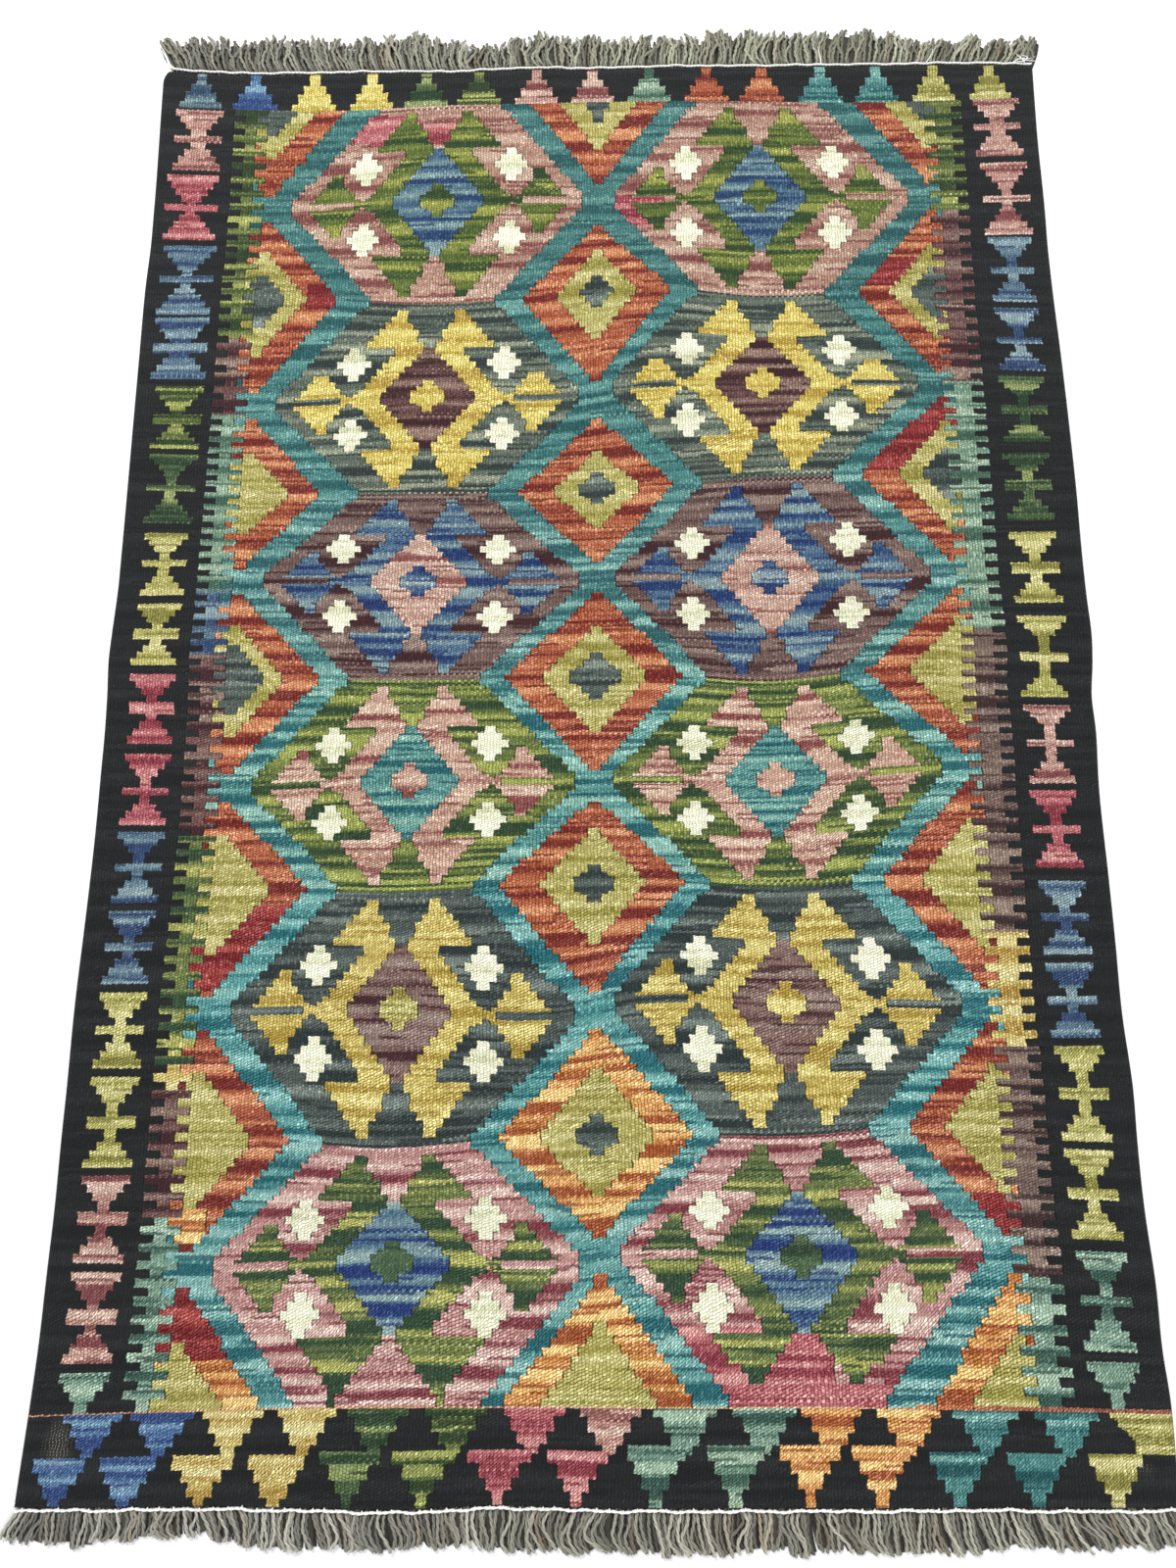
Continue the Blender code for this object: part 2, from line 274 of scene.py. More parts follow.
# Combs: columns of their outer teeth, trunk and inner teeth, and their bands of colour from the far end (v in
# mm).
Comb = namedtuple("Comb", "outer trunk inner bands")
Band = namedtuple("Band", "top yarn")
COMBS = (
    Comb(
        (14, 16), (16, 18), (18, 20),
        table(
            Band,
            (1210, "green"), (942, "plum"), (866, "mint"), (701, "blue"), (644, "plum"),
            (487, "green_figure"), (306, "yellow"), (287, "plum"), (196, "mint_teal"),
        ),
    ),
    Comb(
        (144, 146), (141, 144), (139, 141),
        table(
            Band,
            (1215, "green"), (1081, "plum"), (902, "mint"), (668, "mauve"), (410, "yellow"),
            (322, "mauve"), (155, "mint_teal"),
        ),
    ),
)
FIELD_COLUMNS = (16, 144)

# Hourglasses up the side borders, from the far end: each one's far and near end (v in mm) and its yarn. In
# columns, how far its middle lies from its side, and its half width.
Hourglass = namedtuple("Hourglass", "top bottom yarn from_side half_width", defaults=(8, 4))
LEFT_HOURGLASSES = table(
    Hourglass,
    (1190, 1120, "pink", 7.5, 4.5), (1117, 1048, "rose", 7, 5), (1041, 970, "blue", 7.5, 5),
    (964, 903, "blue", 7.5, 5), (895, 833, "green", 8, 4.5), (827, 763, "dark_green", 8, 4.5),
    (754, 697, "olive"), (689, 633, "olive"), (625, 566, "rose"), (557, 497, "rose"), (491, 433, "blue"),
    (427, 368, "blue"), (363, 302, "olive"), (296, 232, "olive"), (225, 162, "pink"), (157, 94, "pink"),
    (88, 25, "mint_teal"),
)
RIGHT_HOURGLASSES = table(
    Hourglass,
    (1205, 1139, "pink", 7.5, 4.5), (1131, 1055, "pink", 7, 4.5), (1050, 982, "blue", 7, 4),
    (974, 912, "blue", 7, 4), (905, 843, "dark_green", 7.5, 4), (830, 765, "dark_green"),
    (755, 690, "olive"), (677, 607, "olive"), (598, 534, "pink"), (527, 463, "rose"), (454, 393, "blue"),
    (387, 330, "blue"), (322, 253, "olive"), (247, 181, "olive"), (173, 103, "mint_teal"),
    (98, 30, "mint_teal"),
)

# In columns, how much an hourglass narrows with each step, and half its waist.
HOURGLASS_STEP = 1.0
HOURGLASS_WAIST = 1.0

# Stepped triangles along both ends: the way they point, half widths row by row from the base, middles (both
# in columns), the row of each base, and yarns.
TriangleRow = namedtuple("TriangleRow", "direction half_widths middles bases yarns")
TRIANGLE_ROWS = (
    TriangleRow(
        1, (4.1, 4.1, 2.9, 2.9, 2.9, 2.2, 2.2, 2.2, 1.1, 1.1, 1.1, 1.1),
        (7.5, 17.5, 28, 38.5, 48.5, 58, 68.5, 79, 89.5, 100, 110, 120.5, 130.5, 141, 151.5),
        (FIELD_TOP,) * 15,
        ("dull_blue", "royal", "straw", "straw", "dark_green", "green", "pink", "pink",
         "mint", "rust", "rust", "teal", "teal", "olive", "olive"),
    ),
    TriangleRow(
        -1, (4.3, 4.3, 3, 3, 3, 2, 2, 2, 1, 1),
        (10, 20, 29.7, 40.2, 50.2, 60.7, 71.2, 81.7, 92, 103, 112.3, 123, 133.5, 144.5),
        (20,) * 14,
        ("royal", "royal", "yellow", "yellow", "dark_green", "green", "rose", "pink",
         "mint_teal", "mint_teal", "orange", "orange", "teal", "teal"),
    ),
    TriangleRow(
        -1, (4.2, 4.2, 4.2, 2.9, 2.9, 2.9, 1.8, 1.8, 1.8, 0.9, 0.9, 0.9, 0.9),
        (6, 16, 26.2, 36.5, 46.7, 56.7, 66.7, 77.2, 88, 99, 109.2, 119, 129.5, 140, 151),
        (10, 10, 10, 10, 11, 11, 11, 11, 12, 12, 12, 12, 11, 11, 11),
        ("royal", "royal", "yellow", "yellow", "dark_green", "green", "rose", "rose",
         "mint_teal", "mint", "orange", "orange", "teal", "teal", "olive"),
    ),
)

# The near right corner's block, row by row from its far side: how many columns it reaches in from the side.
CORNER_BLOCK = (9.5, 9, 8.5, 8, 7, 6.5, 6, 6, 6)

# A thin line parts the field from the near border. It is one pick high, and two at the right. Its dye drifts.
LINE_ROW = NEAR_ROWS - 1
LinePlace = namedtuple("LinePlace", "column share tone")
LINE_PLACES = table(
    LinePlace,
    (0, 0.30, (190, 128, 98)), (24, 0.30, (194, 136, 98)), (45, 0.30, (208, 152, 94)),
    (70, 0.30, (196, 152, 134)), (90, 0.30, (208, 176, 124)), (112, 0.30, (208, 176, 134)),
    (124, 0.67, (196, 120, 72)), (138, 0.67, (160, 94, 66)), (160, 0.67, (150, 92, 70)),
)

# Places where one bobbin was dyed otherwise: u and v ranges in mm.
Patch = namedtuple("Patch", "left right near far old new")
PATCHES = table(
    Patch,
    (88, 176, 362, 432, "rust", "dark_red"), (88, 152, 96, 150, "orange", "dark_red"),
    (640, 735, 814, 892, "rust", "dark_red"), (698, 740, 183, 216, "rust", "dark_red"),
    (150, 184, 974, 1001, "rust", "dark_red"), (652, 706, 999, 1028, "rust", "dark_red"),
    (470, 588, 66, 119, "rose_ground", "rose"), (588, 650, 66, 84, "rose_ground", "rose"),
    (184, 242, 1150, 1183, "pink_ground", "rose"), (246, 292, 1150, 1176, "pink_ground", "rose"),
    (428, 477, 1060, 1098, "pink_ground", "rose"), (88, 120, 178, 203, "rust", "orange"),
)

# Bobbins: their random numbers, and how their dye spreads, so that the yarns' shares come out.
BOBBIN_SEED = 7
BOBBIN_NUMBERS = 400
DYE_SPREAD = 0.11

# Spots where the weft is thin and the pale warps show through. They end at 1.4 times their reach.
BareSpot = namedtuple("BareSpot", "u v reach_u reach_v strength")
BARE_SPOTS = table(
    BareSpot,
    (25, 40, 8, 14, 0.9), (806, 28, 6, 4, 0.4),
)
BARE_REACH = 1.4


# The fringes, at places across in mm: how far the strands lean sideways for each mm outwards, at their root,
# middle and tip, and how long they are.
FringeRow = namedtuple("FringeRow", "u root middle tip length")
NEAR_FRINGE_ROWS = table(
    FringeRow,
    (0, -0.5, -0.7, -0.8, 21), (20, -0.2, -0.1, -0.3, 25), (60, 0.2, -0.1, -0.1, 24),
    (100, -0.1, 0.0, 0.1, 20), (140, 0.3, 0.4, 0.4, 22), (180, 0.2, 0.0, -0.2, 27),
    (220, 0.3, 0.3, 0.3, 26), (260, 0.0, 0.1, 0.3, 27), (290, -0.2, 0.2, 0.7, 24),
    (330, -0.1, 0.0, 0.3, 26), (370, -0.4, -0.1, 0.5, 30), (410, -0.3, 0.0, 0.6, 27),
    (450, -0.1, 0.2, 0.4, 29), (480, -0.1, 0.2, 0.4, 29), (520, 0.2, -0.1, 0.1, 27),
    (560, 0.0, 0.0, 0.3, 29), (590, 0.3, 0.3, 0.6, 27), (630, 0.3, -0.1, 0.1, 28), (670, 0.2, 0.2, 0.3, 29),
    (710, 0.4, 0.4, 0.3, 25), (750, 0.1, 0.4, 0.5, 27), (780, 0.5, 0.6, 0.6, 25), (830, 0.1, 0.2, 0.2, 25),
)
FAR_FRINGE_ROWS = table(
    FringeRow,
    (0, -0.35, -0.6, -0.8, 31), (20, -0.5, -0.45, -0.4, 36), (45, -0.3, -0.3, -0.3, 43),
    (75, -0.4, 0.1, 0.0, 36), (100, -0.4, -0.1, -0.1, 40), (130, -0.7, -0.3, 0.0, 42),
    (160, -0.6, -0.3, -0.1, 42), (185, -0.3, -0.2, -0.3, 34), (225, -0.3, -0.1, 0.0, 41),
    (260, -0.3, -0.2, 0.0, 40), (290, -0.3, -0.1, 0.1, 34), (320, 0.0, 0.0, 0.2, 30),
    (360, -0.1, -0.1, 0.0, 36), (400, -0.2, 0.1, 0.3, 35), (450, 0.1, 0.1, 0.4, 36),
    (500, 0.1, 0.0, 0.1, 36), (550, -0.1, 0.1, 0.3, 38), (600, -0.2, 0.1, 0.2, 36),
    (640, 0.1, 0.1, 0.3, 37), (690, 0.1, 0.2, 0.2, 37), (740, 0.3, 0.4, 0.4, 30), (780, 0.4, 0.5, 0.5, 32),
    (830, 0.4, 0.3, 0.1, 31),
)

# What differs between the two fringes. Lengths are in mm, and tones as the eye sees them. The under
# strands and the mat are darkened by factors of painted shade.
Fringe = namedtuple(
    "Fringe",
    "far seed rows tuft tip_gather own_length tuft_length own_bend tuft_bend thin_tip curl crimp head lift"
    " thickness mat_short hairs under_tones mat_share tone_l tone_r brown",
)
NEAR_FRINGE = Fringe(
    far=False, seed=5, rows=NEAR_FRINGE_ROWS, tuft=(3, 6), tip_gather=0.30, own_length=0.4, tuft_length=1.1,
    own_bend=1.0, tuft_bend=2.4, thin_tip=1.0, curl=0.8, crimp=0.25, head=1.8, lift=1.0, thickness=1.0,
    mat_short=2.0, hairs=600, under_tones=(0.62, 0.98), mat_share=0.42,
    tone_l=(176, 174, 165), tone_r=(174, 172, 158), brown=(158, 144, 124),
)
FAR_FRINGE = Fringe(
    far=True, seed=9, rows=FAR_FRINGE_ROWS, tuft=(3, 8), tip_gather=0.13, own_length=1.0, tuft_length=2.4,
    own_bend=1.5, tuft_bend=2.0, thin_tip=0.90, curl=3.4, crimp=1.0, head=8.5, lift=2.6, thickness=1.16,
    mat_short=7.0, hairs=1900, under_tones=(0.74, 1.02), mat_share=0.46,
    tone_l=(148, 146, 135), tone_r=(172, 172, 152), brown=(150, 140, 120),
)

# Strands lie in tufts. Two share a stitch, and some stray. The left of a fringe has its own tone and more
# lift.
STRAND_COUNT = 214
STRAND_PITCH = WIDTH_MM / STRAND_COUNT
STRAND_START = 0.3
STRANDS_A_STITCH = 2
STITCH_GATHER = 0.5
STITCH_FADING = 7
SECOND_BEND_SHARE = 0.6
HEAD_MIDDLE = 0.4
LEAN_PLACES = (0.1, 0.5, 0.9)
ROOT_HOLD = 0.7
TIP_HOLD = 0.3
CRIMP_PITCH = 11.0
STRAY_SHARE = 0.12
STRAY_REACH = 8
STRAY_RISE = 1.2
RISE = 1.8
LIFTS = (0.2, 1)
LIFT_ROUNDNESS = 0.8
LEFT_SIDE_REACH = 450
RIGHT_LIFT = 0.35
UNDER_SHARE = 0.5
UNDER_SHORT = (-0.6, 2.6)
ANY_TURN = 6.28

# The layers of a fringe: height at the root, rise, the share of the length it takes, share of the lift, and
# rings and sides of the mesh.
Layer = namedtuple("Layer", "height rise rise_share lift steps sides")
UPPER_LAYER = Layer(0.95, 0.70, 0.22, 1.0, 22, 5)
UNDER_LAYER = Layer(0.75, 0.45, 0.30, 0.6, 12, 4)
MAT_LAYER = Layer(0.75, 0.10, 1.00, 0.0, 8, 4)
MAT_RADIUS = 4.2
MAT_FLATNESS = 0.18

# A strand's two plies, with what is left of their size at the root and the tip, and of their tone under
# painted shade: in the crease between them, on their underside and at their root below the cord.
PLY_RADIUS = 0.95
PLY_OFFSET = 0.50
PLY_FLATNESS = 0.55
PLY_ROOT_SHARE = 0.18
PLY_ROOT_RADIUS = 0.72
PLY_ROOT_OFFSET = 0.8
PLY_TIP_SHARE = 0.28
PLY_TIP_ROUNDNESS = 1.5
PLY_TIP_OFFSET = 0.5
PLY_CREASE_SHADE = 0.84
TWIST_PITCH = 10.5
UNDERSIDE_SHADE = 0.62
ROOT_SHADE = 0.62

# Each strand's tone is its own, and few are warm. Strands that rise higher get painted light, and low ones
# painted shade.
WARM_RARITY = 8
STRAND_TONES = (0.92, 1.08)
LOW_RISE_SHADE = 0.74
RISE_LIGHT = 0.20
BRIGHTEST_RISE = 1.12

# Loose fibres.
HAIR_TURN = 1.1
HAIR_REACHES = (2.0, 6.0)
HAIR_RISES = (-0.4, 1.6)
HAIR_START = 0.9
HAIR_LOWEST = 0.3
HAIR_RADII = (0.11, 0.10, 0.09, 0.07, 0.03)
HAIR_SIDES = 3
HAIR_TONE = 1.06

# The white cords, in mm. Each is two strands twisted together, 1.8 mm outside the cloth, and wavers a little.
CORD_OUT = 1.8
CORD_PAST_END = 1.0
CORD_Z = 3.1
CORD_STEP = 0.9
CORD_WAVE_PITCHES = (61, 37, 19)
CORD_WAVE_SHARE = 0.45
CORD_RISE = 0.15
CORD_RISE_PITCH = 23
CORD_SIDES = 7
# The crease between the cord's two strands is darkened by painted shade.
CORD_CREASE_SHADE = 0.92
KNOT_SWELL = 0.16
COTTON = (255, 255, 252)
Cord = namedtuple("Cord", "far seed radius offset pitch wave knot_step barb_step")
NEAR_CORD = Cord(
    far=False, seed=3, radius=0.70, offset=0.42, pitch=9.6, wave=0.7, knot_step=9.6, barb_step=9.6
)
FAR_CORD = Cord(far=True, seed=4, radius=0.66, offset=0.42, pitch=7.2, wave=0.6, knot_step=3.6, barb_step=0)

# The barbs of the stitches, in mm.
BARB_REACHES = (1.3, 2.4)
BARB_SLANTS = (-0.8, 1.4)
BARB_SHIFT = 1.6
BARB_RISE = 0.5
BARB_BEND = (0.3, 0, 0.35)
BARB_RADII = (1.05, 0.90, 0.40)
BARB_SIDES = 5

# Loose white ends: their points as u, distance outside the cloth and height, in mm.
LooseEnd = namedtuple("LooseEnd", "far radius points")
LOOSE_ENDS = table(
    LooseEnd,
    (True, 0.75, ((8, 2, 3.8), (4.5, 4, 5.6), (1.5, 10, 6.6), (-2.5, 18, 6.8), (-9.0, 28, 5.6))),
    (True, 0.60, ((7, 2, 3.8), (3.5, 3, 5.0), (0.5, 10, 6.0), (-4.0, 18, 6.2), (-11.0, 27, 4.6))),
    (True, 0.50, ((812, 2, 3.4), (817, 5, 4.6), (823, 6, 4.8), (829, 7, 3.6), (835, 11, 2.0))),
    (True, 0.50, ((824, 2, 3.4), (820, 6, 5.0), (817, 10, 4.4), (816, 15, 3.0))),
    (True, 0.45, ((816, 3, 4.4), (822, 2, 5.4), (826, 7, 5.2), (821, 9, 4.8), (818, 4, 5.0))),
    (True, 0.40, ((821, 5, 4.6), (827, 4, 4.6), (833, 5, 3.0), (836, 6, 2.0))),
    (True, 0.45, ((729, 2, 3.4), (732, 6, 4.4), (735, 12, 4.6), (736, 17, 4.0))),
    (True, 0.35, ((704, 2, 3.4), (705, 10, 4.4), (707, 18, 4.8), (710, 26, 4.2))),
    (True, 0.60, ((628, 1, 3.6), (628, 7, 4.6), (627, 14, 4.6), (626, 22, 4.0))),
    (False, 0.50, ((4, 2, 3.2), (0, 1.5, 3.4), (-2, -1, 3.6), (0, -3.5, 4.0))),
)
LOOSE_TAPER = 0.6
LOOSE_SIDES = 5

# The cloth's soft ripples, in metres: their height in mm, how much of u and v they run along, and how they
# sway across that way.
Ripple = namedtuple("Ripple", "height u_share v_share reach sway sway_reach phase")
RIPPLES = table(
    Ripple,
    (0.30, 1.0, 0.0, 0.210, 3.1, 0.37, 0.0),
    (0.22, 0.0, 1.0, 0.118, 1.3, 0.29, 0.6),
    (0.16, 1.0, 0.7, 0.083, 0.0, 1.00, 1.9),
)
RIPPLE_LIFT = 0.25
RIPPLE_SHARE = 0.8

# The cloth's rounded edge, in metres.
EDGE_DROP = 0.0003
TOP_INSET = 0.0009
LOW_INSET = 0.0007

# The maps. Corners lie a little inside their cell. On the baking map, the top and the underside each have the
# place of their left edge and their width, and both the same place and height.
CELL_INSET = 0.0005
BAKE_TOP = (0.005, 0.66)
BAKE_LOW = (0.675, 0.32)
BAKE_UP = (0.005, 0.99)
UNDER_EDGE_SHARE = 0.25
YARN_MAP_SIZE = (1.0, 2.4)
YARN_MAP_APART = (1.37, 0.71)
BAKE_CELL_INSET = 0.07
BAKE_CELLS_ASPECT = 8

# A face of the cloth lies between two warps. Yarns lie no lower than 0.02 mm. No length divided by is 0.
SIDES = ("left", "right")
LOWEST = 0.02
SMALLEST = 1e-9

# The shader's weave. Lengths along the yarn count in warps. The keys only tell random numbers apart.
DYE_LENGTH_WARPS = 130.0
STREAK_LENGTH_WARPS = 26.0
STREAK_APART = 90.0
STREAK_DEPTH = 0.85
WEFT_SLANT = 0.3
LOOSE_PICKS = 140.0
LOOSENESS = 0.12
EVEN_PICKS = 1000
PICK_KEY = 3.7
GRAIN_KEY = 2.3
WARP_KEY = 5.19
GRAIN_WARP_KEY = 17.31
GRAIN_PICK_KEY = 0.731

# Noises: how many grains a metre holds (or a unit of the map or length that they run along), and the node's
# other inputs.
Noise = namedtuple("Noise", "Scale Detail Roughness")
NOISES = {
    "dye": Noise(1.0, 3.0, 0.45),
    "streak": Noise(1.0, 0.0, 0.5),
    "fibre": Noise(5.0, 3.0, 0.7),
    "region": Noise(14.0, 2.0, 0.5),
    "uneven": Noise(340.0, 1.0, 0.5),
    "blotch": Noise(520.0, 2.0, 0.6),
    "wear": Noise(9.0, 4.0, 0.5),
    "calm": Noise(38.0, 2.0, 0.5),
    "fuzz": Noise(1500.0, 2.0, 0.5),
    "yarn_streak": Noise(7.0, 3.0, 0.6),
    "fleck": Noise(900.0, 2.0, 0.5),
    "floor": Noise(3.0, 3.0, 0.5),
}

# How one value becomes another: a range of the first, what its two ends give, and whether the change is soft.
Ramp = namedtuple("Ramp", "low high at_low at_high soft")
RAMPS = {
    # The dye: what each pick adds to it, where the middle and the light tone begin, and streaks.
    "pick_dye": Ramp(0.0, 1.0, -0.03, 0.03, False),
    "mid_dye": Ramp(-0.06, 0.06, 0.0, 1.0, True),
    "light_dye": Ramp(-0.08, 0.08, 0.0, 1.0, True),
    "streak": Ramp(0.66, 0.71, 0.0, 1.0, True),
    # Where the grains lie aslant, most of all at the near end, and how unevenly, in picks.
    "nearness": Ramp(-0.62, 0.30, 0.18, -0.16, False),
    "slanting": Ramp(0.45, 0.53, 0.0, 1.0, True),
    "steep": Ramp(0.58, 0.68, 0.0, 1.0, True),
    "uneven": Ramp(0.3, 0.7, -0.36, 0.36, False),
    "warp_phase": Ramp(0.0, 1.0, -0.22, 0.22, False),
    # How near a slit is, in columns, and how deep it looks. The slit gets painted shade, and the turning
    # wefts beside it a painted highlight.
    "slit": Ramp(0.07, 0.182, 1.0, 0.0, True),
    "beside_slit": Ramp(0.14, 0.3, 1.0, 0.0, True),
    "closed_slit": Ramp(0.40, 0.60, 1.0, 0.45, True),
    "slit_shade": Ramp(0.0, 1.0, 1.0, 0.22, False),
    # Painted shade in the crevices between grains and between ribs, and a painted highlight on their tops, as
    # they slant more.
    "grain_low": Ramp(0.0, 1.0, 0.84, 0.38, False),
    "grain_high": Ramp(0.0, 1.0, 1.10, 1.30, False),
    "rib_low": Ramp(0.0, 1.4, 0.46, 0.70, False),
    # What else shades the yarn: blotches, grains, fibres and wear that differ at random, a painted glint on
    # some grains, and a painted highlight beside slits, where the wefts turn.
    "blotch": Ramp(0.34, 0.66, 0.73, 1.27, False),
    "each_grain": Ramp(0.0, 1.0, 0.80, 1.18, False),
    "painted_glint": Ramp(0.90, 0.94, 1.0, 1.20, True),
    "fibre": Ramp(0.3, 0.7, 0.90, 1.10, False),
    "wear": Ramp(0.3, 0.7, 0.95, 1.05, False),
    "turn_highlight": Ramp(0.0, 1.0, 1.0, 1.12, False),
    # Dark yarn gets its painted shade more from its ribs than its grains. Pale yarn, and calm patches, get
    # less painted shade and highlight.
    "dark_yarn": Ramp(0.015, 0.045, 0.50, 0.0, True),
    "dark_rib": Ramp(0.0, 0.75, 0.40, 1.05, True),
    "pale_yarn": Ramp(0.50, 0.80, 0.0, 0.50, True),
    "calm": Ramp(0.45, 0.65, 0.0, 0.35, True),
    # Yarn in painted shade is richer in colour, and in painted highlight paler. Warps show through where the
    # weave lies low. Fibres differ in gloss.
    "saturation": Ramp(0.4, 1.7, 1.12, 0.80, False),
    "bare": Ramp(0.10, 0.35, 1.0, 0.0, True),
    "roughness": Ramp(0.2, 0.8, 0.78, 0.95, False),
    # Fringes and cords, and the floor.
    "yarn_streak": Ramp(0.3, 0.7, 0.80, 1.14, False),
    "fleck": Ramp(0.3, 0.7, 0.88, 1.10, False),
    "floor": Ramp(0.3, 0.7, 0.93, 0.96, False),
}

# The painted shade and highlight of the grains and ribs, their relief, and what else the materials are given.
GRAIN_RANGE = (0.02, 0.95)
RIB_RANGE = (0.0, 0.75)
RIB_SHADE = 1.10
RELIEF_ROUNDNESS = 0.5
SLIT_DEPTH = 0.9
FUZZ = 0.18
FLECK_HEIGHT = 0.6
WEAVE_DEPTH = 0.0008
YARN_DEPTH = 0.0003
BARE_WARP = (0.72, 0.68, 0.58, 1.0)
YARN_ROUGHNESS = 0.9
FLOOR_ROUGHNESS = 0.85
SPECULAR = 0.2
WOOL_SHEEN = 0.05
SHEEN_ROUGHNESS = 0.5

# The camera: its place in metres, turn in degrees, and lens and sensor height in mm.
CAMERA_PLACE = (-0.0033, -0.3171, 0.9405)
CAMERA_TURN = (13.582, 0.176, 0.176)
CAMERA_LENS = 27.045
CAMERA_SENSOR = 36.0

# The lamps, in metres and watts, the world's light and the floor.
Lamp = namedtuple("Lamp", "name place aim size power")
LAMPS = table(
    Lamp,
    ("key", (-0.9, 1.5, 2.4), (0.0, 0.1, 0.0), (1.6, 1.2), 62.0),
    ("fill", (1.3, -1.2, 2.2), (0.0, 0.0, 0.0), (2.0, 2.0), 26.0),
)
WORLD_STRENGTH = 0.62
FLOOR_SIZE = 12.0
FLOOR_Z = -0.0001


def smooth(places, values, at):
    """Read a curve through unevenly spaced points. The values may be columns of numbers, side by side."""
    places, values, at = (np.asarray(numbers, float) for numbers in (places, values, at))
    slopes = np.gradient(values, places, axis=0)
    index = np.clip(np.searchsorted(places, at) - 1, 0, len(places) - 2)
    gap = places[index + 1] - places[index]
    t = np.clip((at - places[index]) / gap, 0, 1)
    if values.ndim > 1:
        t, gap = t[:, None], gap[:, None]
    return (
        values[index] * (2 * t**3 - 3 * t**2 + 1)
        + slopes[index] * gap * (t**3 - 2 * t**2 + t)
        + values[index + 1] * (3 * t**2 - 2 * t**3)
        + slopes[index + 1] * gap * (t**3 - t**2)
    )


def read(rows, names, at):
    """Read one column of a table, or several side by side, as curves along its first column."""
    places = [row[0] for row in rows]
    if isinstance(names, str):
        return smooth(places, [getattr(row, names) for row in rows], at)
    return smooth(places, [[getattr(row, name) for name in names] for row in rows], at)


def end_reach(u, far):
    """The v in mm of one end of the cloth, at any u in mm."""
    twelfths = [row.twelfth / 12 for row in END_ROWS]
    reaches = [row.far if far else row.near for row in END_ROWS]
    out = smooth(twelfths, reaches, np.asarray(u, float) / WIDTH_MM)
    return LENGTH_MM + out if far else -out


def corner_cut(u):
    """How far the far left corner's wear draws its end in, in mm."""
    return CORNER_CUT * np.clip(1 - u / CORNER_SPREAD, 0, 1)


def weft_heights(columns, rows):
    """v in mm at every crossing of the given chart columns and rows."""
    u = np.asarray(columns, float) / COLUMNS * CLOTH_WIDTH / MM
    lines = [end_reach(u, far=False)]
    for index, line in enumerate(WEFT_LINES):
        lines.append(smooth(WAIST_PLACES if index % 2 else EDGE_PLACES, line, u))
    lines.append(end_reach(u, far=True))
    knots = [0] + [NEAR_ROWS + MEDALLION_ROWS // 2 * index for index in range(len(WEFT_LINES))] + [ROWS]
    return smooth(knots, np.array(lines), rows)


def warp_places(columns, v):
    """u in mm of every column, at the heights v that weft_heights gives for the columns."""
    along = v / LENGTH_MM
    left = read(SIDE_ROWS, "left", along)
    right = WIDTH_MM - read(SIDE_ROWS, "right", along)
    share = np.asarray(columns, float) / COLUMNS
    waists = [line.middle_l for line in WEFT_LINES[1::2]]
    wander = smooth(waists, np.array(WARP_LINES), v[:, len(columns) // 2])
    ends = np.zeros((len(wander), 1))
    moved = smooth((0, *WARP_PLACES, COLUMNS), np.hstack([ends, wander, ends]).T, columns).T
    left_wave = read(SELVEDGE_WAVES, "left", v) * (1 - share) ** WAVE_FADING
    right_wave = read(SELVEDGE_WAVES, "right", v) * share**WAVE_FADING
    return left + share * (right - left) + moved + (right_wave - left_wave)


class Chart:
    """The weaver's chart: which yarn each cell has, and the measured place of its middle."""

    def __init__(self):
        self.names = list(YARNS)
        self.cells = np.zeros((ROWS, WARPS), int)
        columns, rows = (np.arange(WARPS) + 0.5) / WARPS_A_COLUMN, np.arange(ROWS) + 0.5
        self.v = weft_heights(columns, rows)
        self.u = warp_places(columns, self.v)
        self.column = np.broadcast_to(columns, self.cells.shape)
        self.pair = np.floor(self.column) + 0.5
        self.half_step = np.broadcast_to((rows[:, None] - NEAR_ROWS) / 2, self.cells.shape)
        self.step = np.floor(self.half_step) + 0.5
        self.row = np.broadcast_to(np.arange(ROWS)[:, None], self.cells.shape)
        self.in_field = (self.half_step > 0) & (self.half_step < STEPS_A_MEDALLION * MEDALLION_COUNT)

    def paint(self, where, yarn):
        self.cells[where] = self.names.index(yarn)

    def row_at(self, column, v):
        """The chart row whose near edge is at a height v in mm, in one column."""
        return int(np.searchsorted(self.v[:, int(column * WARPS_A_COLUMN)], v))


def span(distance, low_high):
    return (distance > low_high[0]) & (distance < low_high[1])


def in_rhombus(across, along, half_width, up, down):
    """Inside a stepped rhombus, whose points are one column wide."""
    reach = np.where(along > 0, up, down)
    with np.errstate(divide="ignore", invalid="ignore"):
        room = half_width * (1 - (np.abs(along) - RHOMBUS_STEP_IN) / reach)
    return (across < np.maximum(room, RHOMBUS_POINT)) & (np.abs(along) < reach)


def paint_nest(chart, index, middle, *rhombi):
    """Rhombi inside each other on one line, each with its half width, reaches up and down, and yarn."""
    along = chart.half_step - STEPS_A_MEDALLION * index
    across = np.abs(chart.pair - middle)
    for half_width, up, down, yarn in rhombi:
        chart.paint(in_rhombus(across, along, half_width, up, down), yarn)


